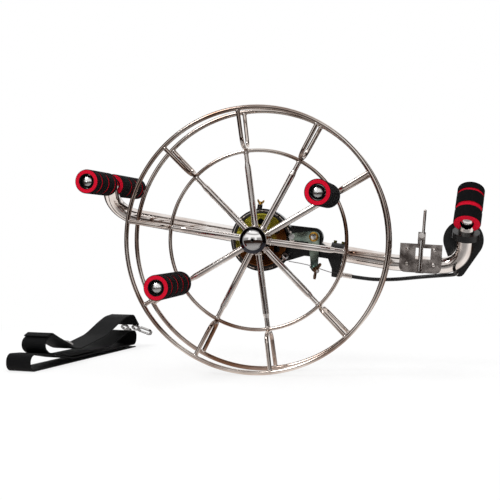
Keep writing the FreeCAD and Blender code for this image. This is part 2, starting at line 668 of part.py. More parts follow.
def tube_points():
    """Corners of the frame tube: belly joint, left bend, kink, elbow and grip joint."""
    left = tube_line(-float(d.left_corner))
    kink = tube_line(float(d.kink_at))
    drop = (float(d.elbow_at) - kink.x) * math.tan(math.radians(float(d.right_slope)))
    elbow = V(float(d.elbow_at), kink.y, kink.z - drop)
    belly = V(float(d.belly_bar_x), float(d.belly_joint), float(d.belly_bar_z))
    grip = grip_point(float(d.grip_joint))
    sink = float(d.joint_sink)
    return [belly + (left - belly).normalize() * sink, left, kink, elbow,
            grip + (elbow - grip).normalize() * sink]


def tube_path():
    return rounded(tube_points(), [float(d.left_bend), float(d.kink_bend), float(d.elbow_bend)])


def grip_bar_round():
    start, end = grip_point(-float(d.grip_length)), grip_point(2 * float(d.grip_length))
    return rod_between(start, end, float(d.sleeve_outer) / 2)


def make_frame_tube():
    """Bent frame tube, saddled on both grip bars and bored for the axle; returns its full round too."""
    path = tube_path()
    outer = swept(path, float(d.tube_outer) / 2)
    inner = swept(path, float(d.tube_outer) / 2 - float(d.tube_wall))
    belly = round_bar(d.belly_bar_x, d.belly_bar_z, d.sleeve_outer / 2)
    tube = outer.cut(inner).cut(round_bar(0, 0, d.axle_outer / 2)).cut(belly).cut(grip_bar_round())
    shaped("frame_tube", tube)
    return outer


def bar(label, near, far):
    """A straight steel bar for a grip, hollow, drawn along Y."""
    outer = d.sleeve_outer / 2
    return turned(label, [(outer - d.tube_wall, near), (outer, near), (outer, far),
                          (outer - d.tube_wall, far)])


def belly_place(thing):
    return place(thing, d.belly_bar_x, 0, d.belly_bar_z)


def make_belly_bar(notch):
    """Bar held against the belly, with a foam grip each side of the frame tube."""
    near, far = d.belly_joint - d.belly_near, d.belly_joint + d.belly_far
    gap_near, gap_far = d.belly_joint - d.belly_gap, d.belly_joint + d.belly_gap
    belly_place(bar("belly_bar", near + d.cap_recess, far - d.cap_recess))
    grooves = [d.groove_first + d.groove_pitch * step for step in range(3)]
    belly_place(turned("belly_grip_near", foam_profile(d.foam_outer, near, gap_near, grooves)))
    far_grooves = [far - gap_far - groove for groove in reversed(grooves)]
    foam = belly_place(turned("belly_foam_blank", foam_profile(d.foam_outer, gap_far, far, far_grooves)))
    doc.recompute()
    shaped("belly_grip_far", foam.Shape.cut(notch))
    make_caps("belly_bar_caps", near + d.cap_recess, far - d.cap_recess, belly_place)


def make_caps(label, near, far, put):
    """Two chrome domes that close a bar's ends."""
    solids = []
    for end, outward in ((near, -1), (far, 1)):
        cap = put(dome(label + ("_near" if outward < 0 else "_far"), end, outward))
        doc.recompute()
        solids.append(cap.Shape)
    return shaped(label, Part.makeCompound(solids))


def grip_place(thing):
    """Turn a piece that is drawn along Y to the grip's own direction."""
    direction = grip_direction()
    return place(thing, d.grip_x, d.grip_near_y, d.grip_near_z, Y_AXIS.cross(direction).normalize(),
                 math.degrees(Y_AXIS.getAngle(direction)))


def make_grip(notch):
    """Brake-hand grip: a short leaning bar with a thicker foam round it."""
    near, far = d.cap_recess, d.grip_length - d.cap_recess
    grip_place(bar("front_bar", near, far))
    blank = grip_place(turned("grip_foam_blank", foam_profile(
        d.grip_outer, as_size(0), d.grip_length, [d.grip_groove_at, d.grip_groove_two],
        [d.grip_groove_wide, d.grip_groove_thin])))
    doc.recompute()
    shaped("front_grip", blank.Shape.cut(notch))
    make_caps("front_bar_caps", near, far, grip_place)


def make_axle():
    """Axle with a shoulder that keeps the reel off the brake cover."""
    rod, shoulder = d.axle_outer / 2, d.shoulder_outer / 2
    start = d.hub_rear - d.hub_end_wall + d.end_play
    return turned("axle", [
        (0, -d.axle_front), (rod, -d.axle_front), (rod, start), (shoulder, start),
        (shoulder, d.plate_front), (rod, d.plate_front), (rod, d.axle_rear), (0, d.axle_rear)])


def make_axle_nuts(tube_solid):
    """Front nut inside the hub, and the rear nut on its saddle washer behind the frame tube."""
    seat = -float(d.hub_front - d.bearing_inset + d.end_play)
    across, height = float(d.nut_across), float(d.nut_height)
    front = prism(across, height, V(0, seat - height, 0), Y_AXIS)
    tube_rear = float(d.frame_depth + d.tube_outer / 2)
    washer_front, washer_rear = tube_rear - float(d.washer_sink), tube_rear + float(d.washer_reach)
    washer = rod_between(Y_AXIS * washer_front, Y_AXIS * washer_rear, float(d.washer_outer) / 2)
    rear = prism(across, height, Y_AXIS * washer_rear, Y_AXIS).fuse(washer).cut(tube_solid)
    rod = round_bar(0, 0, d.axle_outer / 2)
    return shaped("axle_nuts", Part.makeCompound([front.cut(rod), rear.cut(rod)]))


# ---------------------------------------------------------------- band brake, drawn along the tube

def saddle(body):
    """Cut the frame tube's round out of a piece that is drawn along the tube."""
    sketch = draw_circles(new_sketch(body, "YZ_Plane", -BEYOND / 2), [(d.frame_depth, 0, d.tube_outer / 2)])
    return pocket(body, sketch, BEYOND, reverse=True)


def plate_edge_points(inset):
    """Top edge of the torque plate, round the brake arm's pivot and down to its end."""
    round_radius = d.plate_round - inset
    right = d.pivot_x + round_radius
    return [(d.plate_start_x, d.plate_start_z - inset), (d.pivot_x, d.pivot_z + round_radius, -round_radius),
            (right, d.pivot_z), (right + inset / 2, d.plate_waist_z - inset),
            (d.plate_shelf_x - inset / 2, d.plate_shelf_z - inset), (d.plate_step_x, d.plate_shelf_z - inset),
            (d.plate_end, d.plate_end_z - inset)]


def make_brake_plate():
    """Brake cover with its rim, spacer and the torque plate that reaches the clamp."""
    outer, bore, spacer = d.cover_outer / 2, d.axle_outer / 2, d.spacer_outer / 2
    spacer_rear = d.frame_depth - d.tube_outer / 4
    body = turned("brake_plate", [
        (bore, d.plate_front), (outer - d.cover_wall, d.plate_front), (outer - d.cover_wall, d.cover_front),
        (outer, d.cover_front), (outer, d.cover_rear), (spacer, d.cover_rear), (spacer, spacer_rear),
        (bore, spacer_rear)])
    saddle(body)
    cut_through(body, draw_outline, d.cover_front - CLEAR, d.plate_front,
                box_outline(d.window_edge, outer + CLEAR, d.window_low, d.window_high))
    top = plate_edge_points(as_size(0))
    slab(body, draw_outline, d.plate_front, d.cover_rear, top + [
        (d.plate_end, d.plate_low), (d.plate_shelf_x, d.plate_low), (d.plate_belly_x, d.plate_belly_z),
        (d.plate_heel_x, d.plate_heel_z), (d.plate_toe_x, d.plate_toe_z)])
    slab(body, draw_outline, d.plate_front - d.plate_flange, d.plate_front,
         top + list(reversed(inner_edge())))
    holes = [(d.pivot_x, d.pivot_z, d.pivot_rod / 2), anchor_spot(d.anchor_rod / 2)]
    cut_through(body, draw_circles, d.plate_front - CLEAR, d.cover_rear + CLEAR, holes)
    add_drag_boss(body)
    return tilt(body)


def inner_edge():
    """Inner edge of the torque plate's flange; its round turns the other way on the way back."""
    points = plate_edge_points(d.plate_edge)
    radius = d.plate_round - d.plate_edge
    points[1] = (points[1][0], points[1][1])
    points[2] = (points[2][0], points[2][1], radius)
    return points


def anchor_spot(radius):
    """The band's anchor in the brake's own frame, with a radius for a circle there."""
    return (d.anchor_radius * cosine(d.anchor_angle), -d.anchor_radius * sine(d.anchor_angle), radius)


def add_drag_boss(body):
    """Boss on top of the rim for the drag screw, which stands upright."""
    x, z = drag_foot()
    top = d.cover_outer / 2 + d.drag_boss_rise
    sketch = draw_circles(new_sketch(body, "XY_Plane", z), [(x, d.drag_depth, d.drag_boss / 2)])
    pad(body, sketch, top - z)
    hole = draw_circles(new_sketch(body, "XY_Plane", top + CLEAR),
                        [(x, d.drag_depth, d.drag_rod / 2 + d.pivot_play)])
    pocket(body, hole, d.drag_boss_rise + 2 * d.drag_boss)


def drag_foot():
    """Foot of the drag screw's boss, sunk into the cover's rim, which is lower away from its top."""
    rim = d.cover_outer / 2 - d.drag_x * d.drag_x / d.cover_outer
    return d.drag_x, rim - d.drag_sink


def sector_profile(inner, thick, front, rear):
    return [(inner, front), (inner + thick, front), (inner + thick, rear), (inner, rear)]


def make_band():
    """Lining and steel band round the drum, open at the right between anchor and arm."""
    inner = d.drum_outer / 2 + d.lining_gap
    rear = d.band_front + d.band_width
    sweep = 360 - d.band_foot_angle - d.band_top_angle
    lining = turned("band_lining", sector_profile(inner, d.lining_thick, d.band_front + d.lining_inset,
                                                  rear - d.lining_inset), sweep - 2 * d.lining_short)
    place(lining, axis=Y_AXIS, angle=d.frame_tilt + d.band_foot_angle + d.lining_short)
    blank = turned("band_blank", sector_profile(inner + d.lining_thick, d.band_thick, d.band_front, rear),
                   sweep)
    place(blank, axis=Y_AXIS, angle=d.frame_tilt + d.band_foot_angle)
    doc.recompute()
    band = blank.Shape.fuse(band_eyes().cut(lining.Shape))
    return shaped("brake_band", band.removeSplitter())


def row(x, y, z):
    """A point drawn along the tube, in the model's own frame."""
    return FreeCAD.Rotation(Y_AXIS, float(d.frame_tilt)) * V(float(x), float(y), float(z))


def band_eyes():
    """Eyes that join the band to its anchor and, with a slot, to the brake arm's pin."""
    rear = float(d.band_front + d.band_width)
    front = rear - float(d.eye_width)
    band = float(d.drum_outer / 2 + d.lining_gap + d.lining_thick + d.band_thick / 2)
    outer, tab = float(d.eye_outer) / 2, float(d.eye_tab) / 2
    anchor = anchor_spot(0)
    top = (d.arm_pin_x, d.arm_pin_z)
    low = pin_at_full_swing()
    pieces = [disc(top, outer, front, rear), disc(low, outer, front, rear),
              strip(top, low, outer, front, rear)]
    for spot, angle in ((top, d.band_top_angle), (anchor, -d.band_foot_angle)):
        angle = math.radians(float(angle) * 1.1)
        on_band = (math.cos(angle) * band, math.sin(angle) * band)
        pieces.append(strip(spot, on_band, tab, front, rear))
    eye = disc(anchor, outer, front, rear).fuse(pieces)
    pin = float(d.arm_pin_rod) / 2 + float(d.eye_slot_play)
    slot = disc(top, pin, front - CLEAR, rear + CLEAR).fuse([
        disc(low, pin, front - CLEAR, rear + CLEAR), strip(top, low, pin, front - CLEAR, rear + CLEAR)])
    anchor_rod = disc(anchor, float(d.anchor_rod) / 2, front - CLEAR, rear + CLEAR)
    return eye.cut(slot).cut(anchor_rod).cut(round_bar(0, 0, d.drum_outer / 2 + d.lining_gap))


def disc(spot, radius, front, rear):
    """A round disc at an x, z spot drawn along the tube, between two depths."""
    return rod_between(row(spot[0], front, spot[1]), row(spot[0], rear, spot[1]), radius)


def strip(start, end, half, front, rear):
    """A straight bar between two x, z spots, with square ends, between two depths."""
    first = V(float(start[0]), 0, float(start[1]))
    last = V(float(end[0]), 0, float(end[1]))
    across = (last - first).cross(Y_AXIS).normalize() * half
    corners = [first + across, last + across, last - across, first - across, first + across]
    corners = [row(corner.x, front, corner.z) for corner in corners]
    return Part.Face(Part.makePolygon(corners)).extrude(Y_AXIS * (rear - front))


def pin_at_full_swing():
    """Where the brake arm's pin is, in x and z, when the brake is fully on."""
    swing = math.radians(float(d.brake_swing))
    x, z = float(d.arm_pin_x - d.pivot_x), float(d.arm_pin_z - d.pivot_z)
    return (float(d.pivot_x) + x * math.cos(swing) - z * math.sin(swing),
            float(d.pivot_z) + x * math.sin(swing) + z * math.cos(swing))


def make_anchor_bolt():
    """Chrome bolt that holds the band's fixed end to the cover."""
    spot = anchor_spot(0)
    head_rear = float(d.hub_rear - d.drum_clearance)
    head_front = head_rear - float(d.anchor_head_height)
    rod = disc(spot, float(d.anchor_rod) / 2, head_rear, float(d.cover_rear))
    head = disc(spot, float(d.anchor_head) / 2, head_front, head_rear)
    socket = disc(spot, float(d.anchor_rod) / 2, head_front - CLEAR, head_front + float(d.anchor_socket))
    nut = prism(float(d.anchor_nut), float(d.anchor_nut_height), row(spot[0], d.cover_rear, spot[1]), Y_AXIS)
    return shaped("band_anchor_bolt", head.cut(socket).fuse(rod).fuse(nut).removeSplitter())


def make_arm():
    """Bell-crank arm: band pin at one end, pivot in the middle, cable clamp at the foot."""
    rear = d.arm_front + d.arm_thick
    body = new_body("arm_blank")
    pivot = (d.pivot_x, d.pivot_z, d.arm_pivot_round)
    slab(body, draw_link, d.arm_front, rear, pivot, (d.arm_pin_x, d.arm_pin_z, d.arm_end_round))
    slab(body, draw_link, d.arm_front, rear, pivot, (d.arm_foot_x, d.arm_foot_z, d.arm_end_round))
    holes = [(d.pivot_x, d.pivot_z, d.pivot_rod / 2 + d.pivot_play),
             (d.arm_pin_x, d.arm_pin_z, d.arm_pin_rod / 2)]
    cut_through(body, draw_circles, d.arm_front - CLEAR, rear + CLEAR, holes)
    tilt(body)
    doc.recompute()
    boss = on_clamp(-d.boss_rear, d.boss_front, d.clamp_boss)
    bore = on_clamp(-d.clamp_boss * 2, d.clamp_boss * 2, d.clamp_rod)
    seat = on_clamp(-d.clamp_boss * 2, -d.boss_rear, d.clamp_head + 2 * d.pivot_play)
    return shaped("brake_arm", body.Shape.fuse(boss).cut(bore).cut(seat).removeSplitter())


def clamp_line():
    """Middle and direction of the clamp stud through the arm's foot, leaning outwards and forwards."""
    foot = row(d.arm_foot_x, d.arm_front + d.arm_thick / 2, d.arm_foot_z)
    lean = FreeCAD.Rotation(Z_AXIS, float(d.clamp_out)) * FreeCAD.Rotation(X_AXIS, float(d.clamp_dip))
    return foot, lean * -Y_AXIS


def on_clamp(start, end, across):
    """A round bar along the clamp stud, between two distances from the arm's middle."""
    foot, axis = clamp_line()
    return rod_between(foot + axis * float(start), foot + axis * float(end), float(across) / 2)


def make_arm_pins():
    """Band pin, held in the arm, with a chrome head in front."""
    spot = (d.arm_pin_x, d.arm_pin_z)
    front, rear = float(d.arm_front), float(d.band_front + d.band_width)
    head = disc(spot, float(d.arm_pin_head) / 2, front - float(d.arm_pin_head_height), front)
    return shaped("band_pin", head.fuse(disc(spot, float(d.arm_pin_rod) / 2, front, rear)).removeSplitter())


def make_pivot_bolt():
    """Fixed pivot bolt of the brake arm, with a washer and nut in front and a spacer behind the arm."""
    spot = (d.pivot_x, d.pivot_z)
    rod, play = float(d.pivot_rod) / 2, float(d.end_play)
    washer_rear = float(d.arm_front) - play
    nut_rear = washer_rear - float(d.pivot_washer_height)
    nut_front = nut_rear - float(d.pivot_nut_height)
    washer = disc(spot, float(d.pivot_washer) / 2, nut_rear, washer_rear)
    nut = prism(float(d.pivot_nut), float(d.pivot_nut_height), row(spot[0], nut_front, spot[1]), Y_AXIS)
    bolt = disc(spot, rod, nut_front - float(d.pivot_end), float(d.cover_rear + d.pivot_tail))
    spacer = disc(spot, float(d.pivot_spacer) / 2, float(d.arm_front + d.arm_thick) + play,
                  float(d.plate_front))
    return shaped("arm_pivot_bolt", bolt.fuse([washer, nut, spacer]).removeSplitter())


def make_clamp_bolt():
    """Stud through the arm's foot; the inner wire lies in a slot across its rear head."""
    foot, axis = clamp_line()
    head_rear, head = -(d.boss_rear + d.clamp_head_length), float(d.clamp_head)
    stud = on_clamp(head_rear, d.clamp_reach, d.clamp_rod).fuse(on_clamp(head_rear, -d.boss_rear, head))
    up = axis.cross(wire_direction()).normalize()
    back = up.cross(wire_direction())
    floor = wire_in_clamp() - back * float(d.clamp_slot_floor)
    high, low = floor + up * float(d.clamp_slot_up), floor - up * float(d.clamp_slot_down)
    along = wire_direction() * head
    corners = [high - along, high + along, low + along, low - along, high - along]
    slot = Part.Face(Part.makePolygon(corners)).extrude(back * head)
    return shaped("cable_clamp_bolt", stud.removeSplitter().cut(slot))


def wire_direction():
    """Direction of the inner wire from the clamp to the cable stop."""
    return (row(d.stop_barrel_start, d.wire_depth, d.cable_z) - wire_in_clamp()).normalize()


def wire_in_clamp():
    """Where the inner wire crosses the clamp stud's slot."""
    foot, axis = clamp_line()
    return foot - axis * float(d.boss_rear + d.clamp_grip)


# Outline of a thumb wing from its root, as shares of its reach and its rise.
WING_OUTLINE = ((0.75, 0.32), (1, 0.72), (0.93, 1), (0.7, 0.97))


def wings(base, axis, across, inner, span, rise, thick):
    """Two thumb wings that flare out from a hub, away from its base."""
    tip, rise, half = float(span) / 2, float(rise), axis.cross(across).normalize() * (float(thick) / 2)
    outline = [(inner, rise / 20)] + [(tip * reach, rise * height) for reach, height in WING_OUTLINE]
    outline += [(inner, rise / 2), (inner, rise / 20)]
    both = []
    for out in (-across, across):
        corners = [base + out * reach + axis * height - half for reach, height in outline]
        both.append(Part.Face(Part.makePolygon(corners)).extrude(half * 2))
    return both


def make_wing_nut():
    """Wing nut on the stud at the arm's foot."""
    foot, axis = clamp_line()
    base = foot + axis * float(d.boss_front + d.end_play)
    foot_radius, top_radius = float(d.wing_hub) / 2, float(d.wing_hub_top) / 2
    hub = Part.makeCone(foot_radius, top_radius, float(d.wing_hub_height), base, axis)
    across = FreeCAD.Rotation(Y_AXIS, float(d.wing_turn)) * Z_AXIS
    across = (across - axis * across.dot(axis)).normalize()
    nut = hub.fuse(wings(base, axis, across, top_radius / 2, d.wing_span, d.wing_rise, d.wing_thick))
    bore = on_clamp(0, d.clamp_reach * 2, d.clamp_rod + 2 * d.pivot_play)
    return shaped("wing_nut", nut.removeSplitter().cut(bore))


def make_drag_screw():
    """Brass wing screw on top of the cover that sets the drag."""
    x, depth, rod = float(d.drag_x), float(d.drag_depth), float(d.drag_rod) / 2
    band = float(d.drum_outer / 2 + d.lining_gap + d.lining_thick + d.band_thick + d.drag_foot_gap)
    foot = math.sqrt(band ** 2 - (abs(x) - rod) ** 2)
    base = V(x, depth, float(d.cover_outer / 2 + d.drag_boss_rise + d.end_play))
    screw = rod_between(V(x, depth, foot), base, rod)
    foot_radius, top_radius = float(d.drag_head) / 2, float(d.drag_head_top) / 2
    head = Part.makeCone(foot_radius, top_radius, float(d.drag_head_rise), base, Z_AXIS)
    flared = wings(base, Z_AXIS, X_AXIS, top_radius / 2, d.drag_wing, d.drag_wing_rise, d.drag_wing_thick)
    return tilt(shaped("drag_screw", screw.fuse(head).fuse(flared).removeSplitter()))


# ---------------------------------------------------------------- torque clamp and brake cable

def make_torque_clamp():
    """Split clamp that ties the torque plate to the frame tube."""
    body = new_body("torque_clamp")
    outer = d.tube_outer / 2 + d.clamp_wall
    sketch = draw_circles(new_sketch(body, "YZ_Plane", d.clamp_start), [(d.frame_depth, 0, outer)])
    pad(body, sketch, d.clamp_length)
    saddle(body)
    sketch = draw_circles(new_sketch(body, "XY_Plane", outer + CLEAR),
                          [(spot, d.frame_depth, d.screw_rod / 2) for spot in (d.screw_a, d.screw_b)])
    pocket(body, sketch, outer)
    return tilt(body)


def make_clamp_screws():
    """Two socket screws on top of the torque clamp."""
    seat, height = float(d.tube_outer / 2 + d.clamp_wall), float(d.screw_head_height)
    depth = float(d.screw_socket_depth)
    solids = []
    for spot in (d.screw_a, d.screw_b):
        foot = V(float(spot), float(d.frame_depth), float(d.tube_outer) / 2)
        top = V(foot.x, foot.y, seat)
        head = Part.makeCylinder(float(d.screw_head) / 2, height, top, Z_AXIS)
        socket = prism(float(d.screw_socket), depth + CLEAR, top + Z_AXIS * (height - depth), Z_AXIS)
        solids.append(rod_between(foot, top, float(d.screw_rod) / 2).fuse(head).removeSplitter().cut(socket))
    return tilt(shaped("clamp_screws", Part.makeCompound(solids)))


def make_cable_stop():
    """Tapered block under the tube that holds the end of the brake cable's housing."""
    body = new_body("cable_stop")
    end, waist, barrel = d.clamp_start + d.clamp_length, d.stop_waist_z, d.stop_barrel
    slab(body, draw_outline, d.cover_rear - d.stop_ahead, d.frame_depth - d.stop_tuck, [
        (d.clamp_start + d.gate_gap, d.plate_low), (end, d.plate_low), (end - d.gate_gap, waist),
        (end + d.clamp_wall / 2, d.stop_foot), (end - barrel, d.stop_foot), (end - barrel * 1.2, waist)])
    sketch = draw_circles(new_sketch(body, "YZ_Plane", d.stop_barrel_start),
                          [(d.wire_depth, d.cable_z, barrel / 2)])
    pad(body, sketch, d.ferrule_start - d.stop_barrel_start)
    for depth, height, radius in ((d.frame_depth, 0, d.tube_outer / 2 + d.clamp_wall),
                                  (d.wire_depth, d.cable_z, d.wire_rod / 2 + d.wire_play)):
        sketch = draw_circles(new_sketch(body, "YZ_Plane", d.clamp_start - CLEAR), [(depth, height, radius)])
        pocket(body, sketch, BEYOND, reverse=True)
    return tilt(body)


def ferrule(label, length, floor, outer):
    """A metal ferrule along its own Y: a floor with a wire hole, then the housing's socket."""
    bore, hole = d.housing_rod / 2, d.wire_rod / 2 + d.wire_play
    return turned(label, [(hole, as_size(0)), (outer, as_size(0)), (outer, length - d.end_play),
                          (outer - d.end_play, length), (bore, length), (bore, floor), (hole, floor)])


def make_ferrules():
    """Ferrule in the cable stop and the one in the brake perch."""
    stop = ferrule("cable_ferrule", d.ferrule_end - d.ferrule_start, d.ferrule_floor, d.ferrule_outer / 2)
    stop.Placement = FreeCAD.Placement(row(d.ferrule_start, d.wire_depth, d.cable_z),
                                       FreeCAD.Rotation(Y_AXIS, row(1, 0, 0)))
    barrel = ferrule("lever_ferrule", d.barrel_length, d.barrel_length - d.mouth_depth, d.barrel_outer / 2)
    place(barrel, d.barrel_x, d.perch_front, d.barrel_z, X_AXIS, 180)


def wire_path():
    """Bare inner wire from its loose end through the arm's clamp to the cable stop."""
    start = row(d.wire_end_x, d.wire_depth, d.wire_end_z)
    before = wire_in_clamp() - wire_direction() * float(d.clamp_head)
    inside = row(d.stop_barrel_start, d.wire_depth, d.cable_z)
    points = [start, before, inside, row(d.ferrule_start + d.ferrule_floor, d.wire_depth, d.cable_z)]
    return rounded(points, bend_radii(points))


def housing_points():
    """Route of the brake cable's housing, from the cable stop to the brake perch."""
    tube = float(d.frame_depth)
    start = row(d.ferrule_start + d.ferrule_floor, d.wire_depth, d.cable_z)
    leave = row(d.ferrule_end + d.housing_rod, d.wire_depth, d.cable_z)
    end = V(float(d.barrel_x), float(d.barrel_front + d.mouth_depth), float(d.barrel_z))
    enter = end - Y_AXIS * float(2 * d.barrel_length)
    return [start, leave] + [V(x, tube - ahead, z) for x, ahead, z in HOUSING_ROUTE] + [enter, end]


def bend_radii(points):
    """Arcs as large as the runs beside each corner allow."""
    radii = []
    for before, corner, after in zip(points, points[1:], points[2:]):
        shorter = min((corner - before).Length, (after - corner).Length)
        turn_angle = math.pi - (before - corner).getAngle(after - corner)
        radii.append(0.45 * shorter / math.tan(turn_angle / 2))
    return radii


def make_cable():
    points = housing_points()
    radii = bend_radii(points)
    print("brake cable housing bends:", ", ".join("%.0f mm" % radius for radius in radii))
    shaped("cable_housing", swept(rounded(points, radii), float(d.housing_rod) / 2))
    shaped("cable_wire", swept(wire_path(), float(d.wire_rod) / 2))


# ---------------------------------------------------------------- line guide

def guide_place(thing):
    return place(thing, d.guide_x, 0, d.guide_z, Y_AXIS, d.right_slope)


def box_outline(left, right, low, high):
    return [(left, low), (right, low), (right, high), (left, high)]


def make_guide(tube_solid):
    """Line-guide bracket: windowed front plate, two side flanges, a tab and two roller lugs."""
    half, high, corner, lug = d.guide_width / 2, d.guide_height / 2, d.guide_corner, d.lug_width / 2
    front, rear = d.guide_front, d.guide_front + d.guide_plate
    body = new_body("guide_blank")
    slab(body, draw_outline, front, rear, [
        (-half + corner, -high), (half - corner, -high, corner), (half, -high + corner), (half, high),
        (-half, high), (-half, -high + corner, corner)])
    for side in (-1, 1):
        edges = sorted((side * half, side * (half - d.guide_plate)), key=float)
        slab(body, draw_outline, rear, d.frame_depth + d.guide_flange_tuck,
             box_outline(edges[0], edges[1], -high + corner, high - d.flange_drop))
    slab(body, draw_outline, front, rear, box_outline(-lug, lug, high - CLEAR, d.tab_top))
    for low in (-high, d.lug_top):
        slab(body, draw_outline, d.lug_front, front, box_outline(-lug, lug, low, low + d.lug_thick))
    cut_through(body, draw_outline, front - CLEAR, rear + CLEAR,
                box_outline(d.window_left, d.window_right, d.window_foot, d.window_top))
    holes = [(x, z, d.rivet_rod / 2) for x, z in rivet_spots()]
    holes.append((0, d.knuckle_z, d.post_rod / 2))
    cut_through(body, draw_circles, front - CLEAR, rear + CLEAR, holes)
    post = draw_circles(new_sketch(body, "XY_Plane", d.lug_top + d.lug_thick + CLEAR),
                        [(0, d.roller_depth, d.post_rod / 2)])
    pocket(body, post, BEYOND)
    guide_place(body)
    doc.recompute()
    return shaped("guide_bracket", body.Shape.cut(tube_solid))


def rivet_spots():
    return [(side * d.rivet_x, height) for side in (-1, 1) for height in (d.rivet_top, d.rivet_low)]


def make_rivets():
    solids = []
    outer, bevel = float(d.rivet_head) / 2, float(d.rivet_bevel)
    for x, z in rivet_spots():
        spot = V(float(x), float(d.guide_front), float(z))
        shank = Part.makeCylinder(float(d.rivet_rod) / 2, float(d.guide_plate), spot, Y_AXIS)
        head = Part.makeCone(outer, outer - bevel, float(d.rivet_head_height), spot, -Y_AXIS)
        solids.append(shank.fuse(head).removeSplitter())
    return guide_place(shaped("guide_rivets", Part.makeCompound(solids)))


def make_guide_pins():
    """Upright post inside the roller, and the knuckle pin of the folding finger."""
    low, high = -float(d.guide_height) / 2, float(d.lug_top + d.lug_thick)
    rod, depth = float(d.post_rod) / 2, float(d.roller_depth)
    post = rod_between(V(0, depth, low), V(0, depth, high), rod)
    front, rear = float(d.lug_front), float(d.guide_front + d.guide_plate)
    knuckle = V(0, front, float(d.knuckle_z))
    pin = rod_between(knuckle, V(0, rear, knuckle.z), rod)
    head = rod_between(knuckle - Y_AXIS * float(d.knuckle_head_height), knuckle, float(d.knuckle_head) / 2)
    return guide_place(shaped("guide_pins", Part.makeCompound([post, pin.fuse(head).removeSplitter()])))


def make_roller():
    """Chrome roller that the line runs along."""
    low = float(d.lug_thick + d.end_play - d.guide_height / 2)
    high, depth = float(d.lug_top - d.end_play), float(d.roller_depth)
    roller = rod_between(V(0, depth, low), V(0, depth, high), float(d.roller_rod) / 2)
    bore = rod_between(V(0, depth, low - CLEAR), V(0, depth, high + CLEAR),
                       float(d.post_rod / 2 + d.roller_play))
    return guide_place(shaped("guide_roller", roller.cut(bore)))


def make_finger():
    """Upright line finger with a barrel that turns on the knuckle pin."""
    height, rod = float(d.knuckle_z), float(d.finger_rod) / 2
    front, rear = float(d.lug_front + d.end_play), float(d.guide_front - d.end_play)
    barrel = rod_between(V(0, front, height), V(0, rear, height), float(d.knuckle_outer) / 2)
    foot = V(float(d.finger_aside), float(d.roller_depth), height)
    tip = foot + FreeCAD.Rotation(Y_AXIS, float(d.finger_lean)) * Z_AXIS * float(d.finger_length)
    finger = barrel.fuse([rod_between(foot, tip, rod), Part.makeSphere(rod, tip)]).removeSplitter()
    bore = round_bar(0, height, d.post_rod / 2 + d.roller_play)
    return guide_place(shaped("guide_finger", finger.cut(bore)))


# ---------------------------------------------------------------- brake perch and lever

def make_perch(tube_solid):
    """Brake perch: collar on the grip's leg, bridge, round housing and tapering tail."""
    body = new_body("perch_blank")
    slab(body, draw_link, d.perch_front, d.perch_rear, (d.perch_x, d.perch_z, d.perch_round / 2),
         (d.tail_x, d.tail_z, d.tail_round / 2))
    slot = d.slot_width / 2
    cut_through(body, draw_outline, d.perch_front - CLEAR, d.perch_rear + CLEAR,
                box_outline(d.grip_x - slot, d.grip_x + slot, d.slot_floor, d.perch_z + d.perch_round))
    doc.recompute()
    front, rear = float(d.perch_front) - CLEAR, float(d.perch_rear) + CLEAR
    wire_spot = V(float(d.barrel_x), front, float(d.barrel_z))
    hole = rod_between(wire_spot, wire_spot + Y_AXIS * (rear - front), float(d.wire_rod / 2 + d.wire_play))
    arm = perch_arm().cut(lever_clearance())
    perch = body.Shape.fuse(arm).cut(tube_solid).cut(lever_pin_bar(BEYOND)).cut(hole)
    return shaped("lever_perch", perch.removeSplitter())


def perch_arm():
    """Collar round the grip's leg, and the bridge from it to the perch."""
    elbow, joint = tube_points()[-2:]
    leg = (joint - elbow).normalize()
    centre = elbow + leg * float(d.collar_at)
    half = leg * (float(d.collar_length) / 2)
    width, height = float(d.bridge_width), float(d.bridge_height)
    low = centre - X_AXIS * (width / 2) - Z_AXIS * (height / 2 + float(d.bridge_drop))
    bridge = Part.makeBox(width, float(d.perch_front + d.bridge_sink) - centre.y, height, low)
    return rod_between(centre - half, centre + half, float(d.collar_outer) / 2).fuse(bridge)


def lever_pin_bar(reach):
    """A bar along the lever pin's axis, as far as the reach on each side."""
    middle = V(float(d.grip_x), float(d.lever_depth), float(d.lever_pin_z))
    return rod_between(middle - X_AXIS * reach, middle + X_AXIS * reach, float(d.lever_pin_rod) / 2)


def lever_clearance():
    """Room for the lever's root in the bridge."""
    width = float(d.slot_width)
    low = V(float(d.grip_x) - width / 2, float(d.perch_front - d.slot_room), float(d.slot_floor))
    return Part.makeBox(width, BEYOND, BEYOND, low)


def make_lever_pin():
    return shaped("lever_pin", lever_pin_bar(float(d.slot_width / 2 + d.lever_pin_seat)))


def make_lever():
    """Brake lever blade, which runs beside the grip and is pulled towards it."""
    body, half = new_body("brake_lever"), d.lever_thick / 2
    tip = (d.lever_length * cosine(d.lever_lean), d.lever_length * sine(d.lever_lean), d.lever_tip / 2)
    pad(body, draw_link(new_sketch(body, "YZ_Plane", -half), (0, 0, d.lever_root / 2), tip), d.lever_thick)
    bore = draw_circles(new_sketch(body, "YZ_Plane", -half - CLEAR),
                        [(0, 0, d.lever_pin_rod / 2 + d.pivot_play)])
    pocket(body, bore, d.lever_thick + 2 * CLEAR, reverse=True)
    return place(body, d.grip_x, d.lever_depth, d.lever_pin_z)


# ---------------------------------------------------------------- belly strap

def strap_place(thing):
    return place(thing, d.strap_x, d.strap_y, d.strap_ground, Z_AXIS, d.strap_turn)


